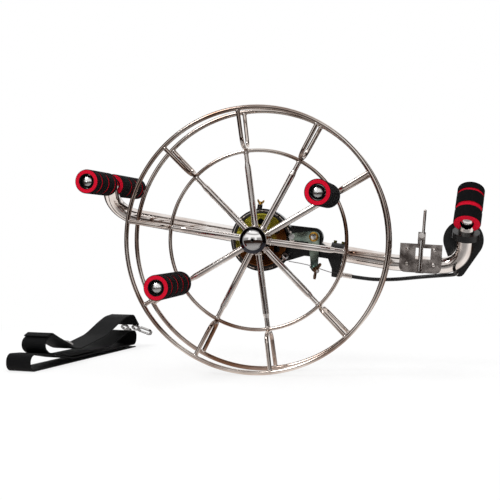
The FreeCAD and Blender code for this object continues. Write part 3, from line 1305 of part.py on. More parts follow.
def make_strap():
    """Webbing folded in four layers, from the hook end down to the layer on the ground."""
    points = [V(along, 0, height) for along, height, _ in STRAP_FOLDS]
    path = rounded(points, [radius for _, _, radius in STRAP_FOLDS[1:-1]])
    width = Y_AXIS * float(d.strap_width)
    up = (points[1] - points[0]).cross(Y_AXIS).normalize() * (float(d.strap_thick) / 2)
    high, low = points[0] + up, points[0] - up
    section = Part.makePolygon([high, high + width, low + width, low, high])
    print("strap length: %.0f mm" % path.Length)
    return strap_place(shaped("strap_webbing", path.makePipeShell([section], True, False)))


def top_layer(along):
    """Point of the webbing's top layer at a distance along the strap, and the layer's direction there."""
    spots = [V(spot, 0, height) for spot, height, _ in STRAP_FOLDS]
    for after, before in zip(spots, spots[1:]):
        if before.x <= along <= after.x:
            return before + (after - before) * ((along - before.x) / (after.x - before.x)), after - before
    raise RuntimeError("the strap's top layer does not reach %.0f mm" % along)


def make_buckle():
    """Chrome slide with a middle bar that lies on the strap's top layer."""
    length, bar_size = float(d.buckle_length), float(d.buckle_bar)
    width, thick = float(d.strap_width) + 2 * bar_size, float(d.buckle_thick)
    frame = Part.makeBox(length, width, thick, V(-length / 2, -width / 2, 0))
    slot = (length - 3 * bar_size) / 2
    for side in (-1, 1):
        frame = frame.cut(Part.makeBox(slot, width - 2 * bar_size, 3 * thick, V(
            side * (slot + bar_size) / 2 - slot / 2, -width / 2 + bar_size, -thick)))
    spot, direction = top_layer(float(d.buckle_at))
    turned_to = FreeCAD.Rotation(X_AXIS, direction)
    lift = turned_to * Z_AXIS * float(d.strap_thick / 2 + d.buckle_gap)
    frame.Placement = FreeCAD.Placement(spot + lift + Y_AXIS * (float(d.strap_width) / 2), turned_to)
    return strap_place(shaped("strap_buckle", frame))


def flat_pad(body, draw, shapes, thick):
    """Add a plate that lies flat, half above and half below the body's own origin."""
    return pad(body, draw(new_sketch(body, "XY_Plane", -thick / 2), *shapes), thick)


def flat_cut(body, draw, shapes, thick):
    return pocket(body, draw(new_sketch(body, "XY_Plane", thick), *shapes), 2 * thick)


def make_hook(letter, across, turn_angle):
    """Flat snap hook: an eye, a long ring open on one side, and the sprung gate in its gap."""
    ring_wall, eye, thick, outer = d.hook_wall, d.hook_eye / 2, d.hook_thick, d.hook_across / 2
    foot, tip, gap_end = eye + ring_wall, eye + ring_wall + d.hook_length, eye + ring_wall + d.hook_gap
    hook = new_body("snap_hook_" + letter)
    flat_pad(hook, draw_circles, [[(0, 0, eye)]], thick)
    flat_pad(hook, draw_link, [(foot, 0, outer), (tip, 0, outer)], thick)
    flat_cut(hook, draw_circles, [[(0, 0, eye - ring_wall)]], thick)
    flat_cut(hook, draw_link, [(foot + CLEAR, 0, outer - ring_wall), (tip, 0, outer - ring_wall)], thick)
    gap = box_outline(foot, gap_end, outer - ring_wall - CLEAR, outer + CLEAR)
    flat_cut(hook, draw_outline, [gap], thick)
    half = (ring_wall - d.gate_slack) / 2
    gate = new_body("snap_gate_" + letter)
    flat_pad(gate, draw_link, [(0, 0, half), (d.hook_gap - 2 * (half + d.gate_gap), 0, half)],
             thick - d.gate_slack)
    outward, turned_to = hook_pose(turn_angle)
    eye_spot = V(STRAP_FOLDS[0][0], across, STRAP_FOLDS[0][1]) + outward * float(eye + d.gate_gap)
    gate_spot = V(float(foot + d.gate_gap + half), float(outer - ring_wall / 2), 0)
    strap = FreeCAD.Placement(V(float(d.strap_x), float(d.strap_y), float(d.strap_ground)),
                              FreeCAD.Rotation(Z_AXIS, float(d.strap_turn)))
    for piece, spot in ((hook, eye_spot), (gate, eye_spot + turned_to * gate_spot)):
        piece.Placement = strap.multiply(FreeCAD.Placement(spot, turned_to))


def hook_pose(turn_angle):
    """Direction in which the strap's end points, and the rotation of a hook turned aside from it."""
    (along, height, _), (before, before_height, _) = STRAP_FOLDS[:2]
    outward = V(along - before, 0, height - before_height).normalize()
    return outward, FreeCAD.Rotation(X_AXIS, outward) * FreeCAD.Rotation(Z_AXIS, turn_angle)


# ---------------------------------------------------------------- assembly

SKETCH_BLANKS = ("belly_foam_blank", "guide_blank", "grip_foam_blank", "band_blank", "arm_blank",
                 "perch_blank", "belly_bar_caps_near", "belly_bar_caps_far", "front_bar_caps_near",
                 "front_bar_caps_far")


def build():
    front, rear, core = make_rings()
    make_hub()
    spokes = make_spokes(core)
    make_forks(front, rear, core)
    make_hub_cap()
    make_bearings()
    make_drum()
    make_drum_bolts()
    make_crank_pins(spokes, core)
    for number, letter in enumerate("ab"):
        make_crank(letter, number)
    tube_solid = make_frame_tube()
    notch = swept(tube_path(), float(d.tube_outer) / 2 + float(d.foam_clearance))
    make_belly_bar(notch)
    make_grip(notch)
    make_axle()
    make_axle_nuts(tube_solid)
    make_brake_plate()
    make_band()
    make_anchor_bolt()
    make_arm()
    make_arm_pins()
    make_pivot_bolt()
    make_clamp_bolt()
    make_wing_nut()
    make_drag_screw()
    make_torque_clamp()
    make_clamp_screws()
    make_cable_stop()
    make_ferrules()
    make_cable()
    make_guide(tube_solid)
    make_rivets()
    make_guide_pins()
    make_roller()
    make_finger()
    make_perch(tube_solid)
    make_lever_pin()
    make_lever()
    make_strap()
    make_buckle()
    make_hook("a", 9, -60)
    make_hook("b", 29, -15)


def sub_parts():
    """Every finished piece: the bodies, primitives and shaped features that name a file."""
    kinds = ("PartDesign::Body", "Part::Torus", "Part::Feature")
    return [thing for thing in doc.Objects if thing.TypeId in kinds and thing.Label not in SKETCH_BLANKS]


def check_document():
    for thing in doc.Objects:
        if {"Invalid", "Error"} & set(thing.State):
            raise RuntimeError("%s: %s" % (thing.Label, thing.State))
    for piece in sub_parts():
        if piece.Shape.isNull() or not piece.Shape.isValid():
            raise RuntimeError(piece.Label + ": its shape is empty or not valid")


def export():
    os.makedirs("parts", exist_ok=True)
    for piece in sub_parts():
        piece.Shape.exportStep("parts/%s.step" % piece.Label)
        print("%-18s %d solids %9.0f mm3" % (piece.Label, len(piece.Shape.Solids), piece.Shape.Volume))


build()
doc.recompute()
check_document()
export()
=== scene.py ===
"""Kite line winder: materials, camera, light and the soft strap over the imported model."""
import math
import bpy
from mathutils import Matrix, Vector


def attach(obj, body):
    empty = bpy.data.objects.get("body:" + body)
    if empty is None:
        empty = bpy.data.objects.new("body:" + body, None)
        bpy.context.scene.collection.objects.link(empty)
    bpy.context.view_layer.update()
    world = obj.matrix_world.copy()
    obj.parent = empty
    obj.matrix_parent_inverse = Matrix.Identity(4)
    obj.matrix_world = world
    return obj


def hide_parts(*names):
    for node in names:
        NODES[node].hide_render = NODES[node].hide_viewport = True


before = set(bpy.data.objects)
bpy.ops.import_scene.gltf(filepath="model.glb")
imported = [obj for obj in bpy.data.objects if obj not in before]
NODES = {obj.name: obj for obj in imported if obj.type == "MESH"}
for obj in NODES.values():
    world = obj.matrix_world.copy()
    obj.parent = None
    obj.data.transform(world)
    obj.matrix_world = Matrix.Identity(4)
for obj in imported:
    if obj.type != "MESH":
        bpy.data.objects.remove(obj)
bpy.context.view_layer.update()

# Places and sizes in metres, in the model's own axes: X to the brake hand, Y away along the axle, Z up.
MM = 0.001
FLOOR_Z = -0.178
FLOOR_SIDE = 24.0

# foam grips: outer radius of each kind, the radius within which the bore is painted black as painted shade,
# the skin's thickness, and the bars' lines
BAR_ROUND = {"foam": 0.016, "grip": 0.018}
BORE_SHADE_ROUND = {"foam": 0.0105, "grip": 0.0}
FOAM_SKIN = 0.0009
GRIP_NEAR = (0.2747, 0.0266, 0.0203)
GRIP_LEAN = math.radians(53.1)
GRIP_YAW = math.radians(6.8)
CRANK_RADIUS = 0.114
CRANK_ANGLES = {"a": 30, "b": 210}
BELLY_BAR = (-0.216, 0, 0.078)

# round metal pieces: the centre of each, the radii where its finish changes, where a painted dark reflection
# starts outside a rim and where painted shade fills a hole, and the centre of the drum's painted highlight
PIVOT = (0.07169, 0, 0.00401)
PIVOT_END = 0.0038
CAP_REFLECTION_RING = 0.0132
CAP_HOLE = 0.0023
ANCHOR = (0.0341, 0, -0.0221)
ANCHOR_EDGE = 0.0044
ANCHOR_SOCKET = 0.0021
DRUM_HIGHLIGHT = (-0.018, 0, 0.024)
ALONG_AXLE = (0, 1, 0)

# patterns: how wide their marks are, in millimetres. Polishing lines, mould grain, foam cells and threads
# are really finer, and are drawn at the width that still shows.
POLISH_LINES = 1.23457
PIVOT_LINES = 1.11111
PAINT_GRAIN = 2.0
PLASTIC_GRAIN = 1.11111
SHEATH_GRAIN = 1.42857
LINING_FIBRE = 0.83333
FOAM_CELLS = 0.666667
FOAM_PORES = 1.11111
RIB_SPACING = 1.7503
PICK_SPACING = 1.9635

# broader marks, in millimetres: clouds of tint, rubbed patches, and the swell of stamped or cast metal
CLOUD_WIDTH = 35.7143
RUBBED_WIDTH = 22.2222
SWELL_WIDTH = 14.2857
HEAD_SWELL_WIDTH = 18.1818
PIVOT_SWELL_WIDTH = 7.14286
PIVOT_CLOUD_WIDTH = 6.25
DRUM_CLOUD_WIDTH = 16.6667
FLOOR_CLOUD_WIDTH = 250.0

# how deep relief is, in metres, and how much of that depth shows, from nought to one
POLISH_HEIGHT = 0.00008
POLISH_RELIEF = 0.15
GRAIN_RELIEF = 0.35
FOAM_DEPTH, FOAM_RELIEF = 0.0003, 0.6
WEAVE_DEPTH, WEAVE_RELIEF = 0.0004, 0.7
PIVOT_SWELL = 0.001
DRUM_SWELL = 0.0012

# which part of a noise, from nought to one, a change of tint or shine runs over
CLOUD_BAND = (0.38, 0.66)
LINES_BAND = (0.3, 0.7)
RUBBED_BAND = (0.52, 0.78)
RUBBED_SHINE_BAND = (0.35, 0.7)
RUBBED_ROUGHER = 0.12

# drum: how far a cloud shifts the edge of its painted highlight, and from where to where that highlight
# fades to brown painted shade
HIGHLIGHT_SHIFT = 0.03
HIGHLIGHT_EDGE = (0.042, 0.06)

# edge at a radius between two finishes, and between a finish and painted shade or a painted reflection, and
# the wave texture's own period at scale 1
FINE_EDGE = 0.0002
WAVE_PERIOD = 2 * math.pi / 20

# sockets of a colour mix, by number because they share their names with others
SHARE, FIRST, SECOND, MIXED = 0, 6, 7, 2

# reel, for the weld beads at each spoke: name, ring radius, bead radius, reach from the axle, depths
HUB_RADIUS = 0.018
CORE_RADIUS = 0.120
RIM_RADIUS = 0.175
RIM_OFFSET = 0.0225
SPOKE_FIRST = 30
SPOKE_PITCH = 36
SPOKE_OFFSETS = (0, -5, -5, -3.5, -2.5, 0, -3.5, -5, -4, -1.5)
WELDS = [
    ("hub_welds", 0.0043, 0.0011, HUB_RADIUS + 0.0006, (0,)),
    ("core_welds", 0.0031, 0.0008, CORE_RADIUS - 0.0028, (0,)),
    ("rim_welds", 0.0028, 0.0008, RIM_RADIUS - 0.0030, (-RIM_OFFSET, RIM_OFFSET)),
]
WELD_STRETCH = 1.35
WELD_LUMPS = 0.3
WELD_SEED = 7

# rivet heads on the guide plate: X and Z of each, the plate's front face and the domes
RIVETS = [(0.19759, -0.01241), (0.19636, -0.03197), (0.23292, -0.01464), (0.23169, -0.0342)]
PLATE_FRONT = 0.048
RIVET_DOME = 0.0029
RIVET_SINK = 0.0004

# belly strap: corners of its route in its own X and Z and the radius of each fold, in millimetres
STRAP_ORIGIN = Vector((-0.299, -0.039, FLOOR_Z))
STRAP_TURN = math.radians(80.8)
STRAP_WIDTH = 0.039
STRAP_THICK = 0.0016
STRAP_FOLDS = [
    (308, 36, 0), (290, 54, 12), (262, 52, 60), (240, 45, 60), (197, 29, 90), (112, 16.5, 60), (40, 46, 9),
    (16, 34, 9), (34, 21, 12), (90, 11.2, 90), (205, 10.4, 90), (272, 28, 9), (300, 27, 9), (297, 5.5, 9),
    (96, 6.4, 90), (20, 21.5, 30), (-13, 24, 10), (-13, 0.9, 10), (296, 0.9, 0),
]
TAIL_ROUTE = [(92, 26.6, 0), (62, 39, 40), (41, 48.6, 9), (30, 44.5, 0)]
FOLD_STEP = 6

# camera
CAMERA_SPOT = (0.2368, -1.2550, 0.0086)
CAMERA_RIGHT = (0.9813, 0.1925, -0.0034)
CAMERA_UP = (0.0, 0.01745, 0.99985)
LENS = 68.76
SENSOR = 36.0

# floor: how far out it turns plain white, and the lit strip along the axle that metal reflects
BARE_FROM, BARE_TO, BARE_LEAST = 0.35, 0.8, 0.72
STRIP_DEPTH = 0.06
STRIP_FADE = (0.09, 0.17)

# studio that metal reflects: each band fades in or out between two parts of a unit direction
WALLS_START = (-0.74, -0.5)
WALLS_STOP = (0.3, 0.55)
CEILING_RISE = (0.82, 0.9)
CEILING_DEPTH = (-0.3, -0.1)
WINDOW_MIDDLE = 0.17
WINDOW_APART = 0.25
WINDOW_FADE = (0.06, 0.13)
WINDOW_LIGHT = 0.9
END_LIGHT = (0.86, 0.95)
ROOM_FADE = (0.12, 0.24)
ROOM_DARK = 0.7
BEAM_RISE = 0.45
BEAM_FADE = (0.03, 0.08)
BEAM_DARK = 0.6
PLAIN_LIGHT = 0.55

# lamps: name, place, side, power, and whether polished metal shows it
LAMPS = [
    ("key", (-1.3, -1.6, 2.2), 1.0, 34, True),
    ("fill", (1.8, -1.2, 1.2), 1.2, 14, False),
    ("top", (0.1, 0.6, 2.4), 1.6, 22, False),
]


# ---------------------------------------------------------------- material helpers

def srgb(code):
    """Linear colour from a hex code."""
    parts = [int(code[number:number + 2], 16) / 255 for number in (0, 2, 4)]
    linear = [part / 12.92 if part <= 0.04045 else ((part + 0.055) / 1.055) ** 2.4 for part in parts]
    return (*linear, 1.0)


def add_node(tree, kind, inputs=None, **settings):
    """Add a shader node with its settings. An input is a value, a socket, or a node's first output."""
    node = tree.nodes.new("ShaderNode" + kind)
    for name, value in settings.items():
        setattr(node, name, value)
    for name, value in (inputs or {}).items():
        if isinstance(value, bpy.types.Node):
            value = value.outputs[0]
        if isinstance(value, bpy.types.NodeSocket):
            tree.links.new(value, node.inputs[name])
        else:
            node.inputs[name].default_value = value
    return node


def new_material(name):
    """An empty material, its nodes, and the object coordinates that its patterns read."""
    material = bpy.data.materials.new(name)
    material.use_nodes = True
    tree = material.node_tree
    tree.nodes.clear()
    return material, tree, add_node(tree, "TexCoord").outputs["Object"]


def finish_surface(tree, inputs):
    """The material's shader with its inputs, shown as its surface."""
    add_node(tree, "OutputMaterial", {"Surface": add_node(tree, "BsdfPrincipled", inputs)})


def patches(tree, place, width, band, start=0.0, end=1.0, detail=3.0):
    """Soft patches of a width in millimetres, carried from one value to another over a band of noise."""
    cloud = add_node(tree, "TexNoise", {"Vector": place, "Scale": 1 / (width * MM), "Detail": detail})
    return add_node(tree, "MapRange", {"Value": cloud.outputs["Fac"], "From Min": band[0],
                                       "From Max": band[1], "To Min": start, "To Max": end})


def marks(tree, place, width, detail, depth, strength=1.0, under=None):
    """Relief in soft marks of a width in millimetres, over the relief that is under it."""
    cloud = add_node(tree, "TexNoise", {"Vector": place, "Scale": 1 / (width * MM), "Detail": detail})
    inputs = {"Height": cloud.outputs["Fac"], "Strength": strength, "Distance": depth}
    if under is not None:
        inputs["Normal"] = under
    return add_node(tree, "Bump", inputs)


def from_axis(tree, place, centre, axis):
    """Distance from a line through a centre."""
    arm = add_node(tree, "VectorMath", {0: place, 1: centre}, operation="SUBTRACT")
    cross = add_node(tree, "VectorMath", {0: arm, 1: axis}, operation="CROSS_PRODUCT")
    return add_node(tree, "VectorMath", {0: cross}, operation="LENGTH").outputs["Value"]


def outside(tree, place, centre, axis, radius):
    """One outside a radius round a line, and nought inside it, with a fine edge between."""
    away = from_axis(tree, place, centre, axis)
    return add_node(tree, "MapRange", {"Value": away, "From Min": radius - FINE_EDGE,
                                       "From Max": radius + FINE_EDGE})


# ---------------------------------------------------------------- finishes

def metal(name, bright, dull, rough, smear=0.06, cloud=CLOUD_WIDTH, swell=0.0):
    """Metal: clouds of a duller tint, polishing lines that spread its shine and, if stamped, a swell."""
    material, tree, place = new_material(name)
    clouds = patches(tree, place, cloud, CLOUD_BAND)
    tint = add_node(tree, "Mix", {SHARE: clouds, FIRST: srgb(bright), SECOND: srgb(dull)}, data_type="RGBA")
    shine = patches(tree, place, POLISH_LINES, LINES_BAND, rough, rough + smear, 4.0)
    stamped = marks(tree, place, SWELL_WIDTH, 0.0, swell) if swell else None
    lines = marks(tree, place, POLISH_LINES, 4.0, POLISH_HEIGHT, POLISH_RELIEF, stamped)
    finish_surface(tree, {"Base Color": tint.outputs[MIXED], "Metallic": 1.0, "Roughness": shine,
                          "Normal": lines})
    return material


def plastic(name, colour, worn, rough, grain, depth):
    """Moulded plastic, paint or a casting: fine grain, and the paler, duller patches that rubbing leaves."""
    material, tree, place = new_material(name)
    rubbed = patches(tree, place, RUBBED_WIDTH, RUBBED_BAND, detail=5.0)
    tint = add_node(tree, "Mix", {SHARE: rubbed, FIRST: srgb(colour), SECOND: srgb(worn)}, data_type="RGBA")
    shine = patches(tree, place, RUBBED_WIDTH, RUBBED_SHINE_BAND, rough, rough + RUBBED_ROUGHER, 5.0)
    finish_surface(tree, {"Base Color": tint.outputs[MIXED], "Roughness": shine,
                          "Normal": marks(tree, place, grain, 2.0, depth, GRAIN_RELIEF)})
    return material


def foam(name, centre, axis, kind):
    """Foam tube turned from two colours: matt crimson, with a black skin outside, and the bore wall round
    the bar painted black as painted shade.
    """
    material, tree, place = new_material(name)
    skin = outside(tree, place, centre, axis, BAR_ROUND[kind] - FOAM_SKIN)
    # lining is the bore wall round the bar, painted black as painted shade in the recess; dark joins it to
    # the real black skin
    bulk = outside(tree, place, centre, axis, BORE_SHADE_ROUND[kind])
    lining = add_node(tree, "Math", {0: 1.0, 1: bulk}, operation="SUBTRACT")
    dark = add_node(tree, "Math", {0: skin, 1: lining}, operation="MAXIMUM")
    pores = add_node(tree, "TexNoise", {"Vector": place, "Scale": 1 / (FOAM_PORES * MM), "Detail": 4.0})
    pores = pores.outputs["Fac"]
    red = add_node(tree, "Mix", {SHARE: pores, FIRST: srgb("A80820"), SECOND: srgb("D8102F")},
                   data_type="RGBA")
    black = add_node(tree, "Mix", {SHARE: pores, FIRST: srgb("060607"), SECOND: srgb("131214")},
                     data_type="RGBA")
    tint = add_node(tree, "Mix", {SHARE: dark, FIRST: red.outputs[MIXED], SECOND: black.outputs[MIXED]},
                    data_type="RGBA")
    cells = add_node(tree, "TexVoronoi", {"Vector": place, "Scale": 1 / (FOAM_CELLS * MM)})
    relief = add_node(tree, "Bump", {"Height": cells.outputs["Distance"], "Strength": FOAM_RELIEF,
                                     "Distance": FOAM_DEPTH})
    finish_surface(tree, {"Base Color": tint.outputs[MIXED], "Roughness": 0.85,
                          "Specular IOR Level": 0.08, "Normal": relief})
    return material


def pivot_metal():
    """Turned brass washer, nut and spacer, warm and mottled, with a bright plated bolt end in the middle."""
    material, tree, place = new_material("brass_and_chrome")
    ring = outside(tree, place, PIVOT, ALONG_AXLE, PIVOT_END)
    clouds = patches(tree, place, PIVOT_CLOUD_WIDTH, CLOUD_BAND)
    brass = add_node(tree, "Mix", {SHARE: clouds, FIRST: srgb("E0B050"), SECOND: srgb("8A5F25")},
                     data_type="RGBA")
    chrome = add_node(tree, "Mix", {SHARE: clouds, FIRST: srgb("F3F1EE"), SECOND: srgb("A9A4A0")},
                      data_type="RGBA")
    tint = add_node(tree, "Mix", {SHARE: ring, FIRST: chrome.outputs[MIXED], SECOND: brass.outputs[MIXED]},
                    data_type="RGBA")
    swell = marks(tree, place, PIVOT_SWELL_WIDTH, 0.0, PIVOT_SWELL)
    finish_surface(tree, {"Base Color": tint.outputs[MIXED], "Metallic": 1.0,
                          "Roughness": patches(tree, place, PIVOT_LINES, LINES_BAND, 0.12, 0.24, 4.0),
                          "Normal": marks(tree, place, PIVOT_LINES, 4.0, POLISH_HEIGHT, POLISH_RELIEF,
                                          swell)})
    return material


def ringed_metal(name, centre, rim, hole, edge, swell):
    """Chrome head that faces along the axle: bright face, a painted dark reflection outside its rim, and
    painted shade in the hole within.
    """
    material, tree, place = new_material(name)
    # the dark colour outside the rim is a painted reflection, and the dark colour in the hole is painted
    # shade
    dark_reflection_ring = outside(tree, place, centre, ALONG_AXLE, rim)
    outside_hole_shade = outside(tree, place, centre, ALONG_AXLE, hole)
    face = add_node(tree, "Mix", {SHARE: dark_reflection_ring, FIRST: srgb("F6F4F3"), SECOND: srgb(edge)},
                    data_type="RGBA")
    tint = add_node(tree, "Mix", {SHARE: outside_hole_shade, FIRST: srgb("1A1714"), SECOND: face.outputs[MIXED]},
                    data_type="RGBA")
    finish_surface(tree, {"Base Color": tint.outputs[MIXED], "Metallic": 1.0, "Roughness": 0.05,
                          "Normal": marks(tree, place, HEAD_SWELL_WIDTH, 0.0, swell)})
    return material


def drum_metal():
    """Yellow zinc plate: a yellow-green painted highlight round one spot at the upper left of the drum,
    fading to brown painted shade away from it.
    """
    material, tree, place = new_material("yellow_zinc")
    clouds = add_node(tree, "TexNoise", {"Vector": place, "Scale": 1 / (DRUM_CLOUD_WIDTH * MM),
                                         "Detail": 3.0})
    shift = add_node(tree, "Math", {0: clouds.outputs["Fac"], 1: HIGHLIGHT_SHIFT}, operation="MULTIPLY")
    away = add_node(tree, "Math", {0: from_axis(tree, place, DRUM_HIGHLIGHT, ALONG_AXLE), 1: shift},
                    operation="ADD")
    # brown: painted shade, growing away from the painted highlight
    brown = add_node(tree, "MapRange", {"Value": away, "From Min": HIGHLIGHT_EDGE[0],
                                        "From Max": HIGHLIGHT_EDGE[1]})
    tint = add_node(tree, "Mix", {SHARE: brown, FIRST: srgb("B8B23E"), SECOND: srgb("5A3418")},
                    data_type="RGBA")
    finish_surface(tree, {"Base Color": tint.outputs[MIXED], "Metallic": 1.0, "Roughness": 0.2,
                          "Normal": marks(tree, place, SWELL_WIDTH, 0.0, DRUM_SWELL)})
    return material


def webbing():
    """Woven nylon webbing, dull black: ribs of warp across its width, and picks of weft along it."""
    material, tree, _ = new_material("nylon_webbing")
    place = add_node(tree, "UVMap", uv_map="weave").outputs["UV"]
    warp = add_node(tree, "TexWave", {"Vector": place, "Distortion": 0.4,
                                      "Scale": WAVE_PERIOD * STRAP_WIDTH / (RIB_SPACING * MM)},
                    bands_direction="X")
    picks = add_node(tree, "TexWave", {"Vector": place, "Distortion": 0.6,
                                       "Scale": WAVE_PERIOD / (PICK_SPACING * MM)}, bands_direction="Y")
    weave = add_node(tree, "Math", {0: warp.outputs["Fac"], 1: picks.outputs["Fac"]},
                     operation="MULTIPLY")
    tint = add_node(tree, "Mix", {SHARE: weave, FIRST: srgb("040405"), SECOND: srgb("111113")},
                    data_type="RGBA")
    relief = add_node(tree, "Bump", {"Height": weave, "Strength": WEAVE_RELIEF, "Distance": WEAVE_DEPTH})
    finish_surface(tree, {"Base Color": tint.outputs[MIXED], "Roughness": 0.7,
                          "Specular IOR Level": 0.15, "Normal": relief})
    return material


def dress(material, *names):
    """Give CAD nodes a material."""
    for name in names:
        mesh = NODES[name].data
        mesh.materials.clear()
        mesh.materials.append(material)


def dress_nodes():
    """Every CAD node that shows gets its finish."""
    # bent and polished stainless rod and tube: a mirror, with long bright and dark lines
    steel = metal("polished_stainless", "F3EEEA", "D3C7C0", 0.06)
    dress(steel, "spokes", "hub_shell", "drum_bolts", "crank_pins", "crank_sleeve_a",
          "crank_sleeve_b", "frame_tube", "belly_bar", "front_bar", "axle", "axle_nuts",
          "cable_ferrule", "guide_finger", "guide_pins", "hub_bearings", "brake_band")
    # stainless rod browned by welding and handling: the same mirror under long brown clouds
    dress(metal("browned_steel", "E6DCD4", "7D5B47", 0.06, cloud=83.3333),
          "rim_ring_front", "rim_ring_rear", "core_ring", "rim_forks")
    # buffed chrome plate: the brightest and sharpest mirror
    dress(metal("bright_chrome", "F6F4F3", "E2DFDD", 0.04, smear=0.03),
          "cable_clamp_bolt", "lever_ferrule", "lever_pin", "guide_roller", "strap_buckle",
          "snap_hook_a", "snap_hook_b", "snap_gate_a", "snap_gate_b")
    # chrome plate over a rough head: bright, with a broken reflection
    dress(metal("bolt_chrome", "FBFAF9", "CFCBC8", 0.06, cloud=5.0, swell=0.0006), "band_pin")
    # chromed socket head: bright face, a painted dark reflection round the rim, and painted shade in the
    # socket
    dress(ringed_metal("socket_chrome", ANCHOR, ANCHOR_EDGE, ANCHOR_SOCKET, "2B2725", 0.0003),
          "band_anchor_bolt")
    # chromed dome: bright in the middle, with a painted dark reflection of the room towards its rim and
    # painted shade in its hole
    dress(ringed_metal("chrome_painted_reflection", (0, 0, 0), CAP_REFLECTION_RING, CAP_HOLE, "4A4A52", 0.0008), "hub_cap")
    # chrome plate left unbuffed: a soft even sheen
    dress(metal("satin_chrome", "FBFAF9", "E4E1DF", 0.17, smear=0.08),
          "crank_cap_a", "crank_cap_b", "belly_bar_caps", "front_bar_caps")
    # folded sheet with aged zinc plate: grey and warm patches, half dull
    dress(metal("mottled_zinc", "C6BDB8", "756C68", 0.2, smear=0.15, cloud=9.09091, swell=0.0006),
          "guide_bracket")
    # stamped sheet with clear zinc plate: pale blue-green, with a wavy shine
    dress(metal("clear_zinc", "B4C4B4", "6F827B", 0.16, smear=0.1, cloud=16.6667, swell=0.0009), "brake_arm")
    # screws with old yellow zinc plate: dull olive
    dress(metal("olive_zinc", "77743C", "3C3B22", 0.32, smear=0.15), "clamp_screws")
    dress(drum_metal(), "brake_drum")
    # turned brass, and cast bronze gone dark: warm, the casting mottled and duller
    dress(metal("brass", "C79A45", "7A5526", 0.2, smear=0.15), "drag_screw")
    dress(metal("bronze", "7A5638", "3D2A1B", 0.3, smear=0.2, cloud=6.25), "wing_nut")
    dress(pivot_metal(), "arm_pivot_bolt")
    # drawn steel wire laid in strands: grey, and too fine to mirror anything
    dress(metal("stranded_wire", "B9B9BD", "8B8B90", 0.3), "cable_wire")
    # sprayed black paint on steel: deep black, half glossy
    dress(plastic("black_paint", "060607", "131315", 0.22, PAINT_GRAIN, 0.00006), "brake_plate")
    # painted casting: the deepest black, half matt
    dress(plastic("black_casting", "040404", "0C0C0D", 0.4, PAINT_GRAIN, 0.00006), "torque_clamp")
    # moulded nylon: black with a soft shine, and duller, paler patches
    dress(plastic("black_plastic", "060607", "111113", 0.28, PLASTIC_GRAIN, 0.0001),
          "cable_stop", "lever_perch", "brake_lever")
    # extruded vinyl sheath: black, smooth and half glossy
    dress(plastic("cable_sheath", "070709", "161618", 0.3, SHEATH_GRAIN, 0.00005), "cable_housing")
    # pressed friction lining: brown-black and rough, without shine
    dress(plastic("brake_lining", "1B1815", "3A332B", 0.75, LINING_FIBRE, 0.0002), "band_lining")
    for letter, angle in CRANK_ANGLES.items():
        turn = math.radians(angle)
        centre = (CRANK_RADIUS * math.cos(turn), 0, CRANK_RADIUS * math.sin(turn))
        dress(foam("foam_crank_" + letter, centre, ALONG_AXLE, "foam"), "crank_grip_" + letter)
    dress(foam("foam_belly", BELLY_BAR, ALONG_AXLE, "foam"), "belly_grip_near", "belly_grip_far")
    lean = (math.sin(GRIP_YAW), math.cos(GRIP_YAW) * math.cos(GRIP_LEAN),
            math.cos(GRIP_YAW) * math.sin(GRIP_LEAN))
    dress(foam("foam_grip", GRIP_NEAR, lean, "grip"), "front_grip")


# ---------------------------------------------------------------- welds and rivets

def deselect():
    """Leave nothing selected, because an operator acts on all that is."""
    bpy.ops.object.select_all(action="DESELECT")


def repeat_piece(first, places):
    """Copies of a piece at each place, each with its own mesh, joined as one that stands in for it."""
    copies = []
    for place in places:
        copy = bpy.data.objects.new(first.name, first.data.copy())
        copy.data.transform(place)
        bpy.context.scene.collection.objects.link(copy)
        copies.append(copy)
    bpy.data.objects.remove(first)
    deselect()
    for copy in copies:
        copy.select_set(True)
    bpy.context.view_layer.objects.active = copies[0]
    bpy.ops.object.join()


def finish_piece(name, body, material):
    """Set the new piece's place in its mesh, smooth it, and tie it to its body and finish."""
    piece = bpy.context.object
    piece.name = name
    bpy.ops.object.transform_apply(location=True, rotation=True, scale=True)
    bpy.ops.object.shade_smooth()
    piece.data.materials.append(material)
    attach(piece, body)
    return piece


def weld_bead(radius, bead):
    """One weld run round a rod that points along X: a lumpy ring, drawn out along the rod."""
    deselect()
    bpy.ops.mesh.primitive_torus_add(major_segments=18, minor_segments=8, major_radius=radius,
                                     minor_radius=bead, rotation=(0, math.radians(90), 0))
    bpy.ops.object.transform_apply(location=False, rotation=True, scale=False)
    bpy.ops.object.mode_set(mode="EDIT")
    bpy.ops.mesh.select_all(action="SELECT")
    bpy.ops.transform.resize(value=(WELD_STRETCH, 1, 1))
    bpy.ops.transform.vertex_random(offset=bead * WELD_LUMPS, seed=WELD_SEED)
    bpy.ops.object.mode_set(mode="OBJECT")
    return bpy.context.object


def weld_row(name, radius, bead, reach, depths, material):
    """The same weld bead at every spoke angle, at one reach from the axle and each depth."""
    places = []
    for number, offset in enumerate(SPOKE_OFFSETS):
        turn = Matrix.Rotation(-math.radians(SPOKE_FIRST + SPOKE_PITCH * number + offset), 4, "Y")
        places += [turn @ Matrix.Translation((reach, depth, 0)) for depth in depths]
    repeat_piece(weld_bead(radius, bead), places)
    finish_piece(name, "reel", material)


def make_welds():
    """Beads where the spokes meet the hub, the core ring and both rim rings."""
    # brushed weld metal: lumpy, and greyer than the rods
    weld = metal("weld_steel", "F1ECE8", "B9ACA4", 0.14, smear=0.1, cloud=3.33333)
    for name, radius, bead, reach, depths in WELDS:
        weld_row(name, radius, bead, reach, depths, weld)


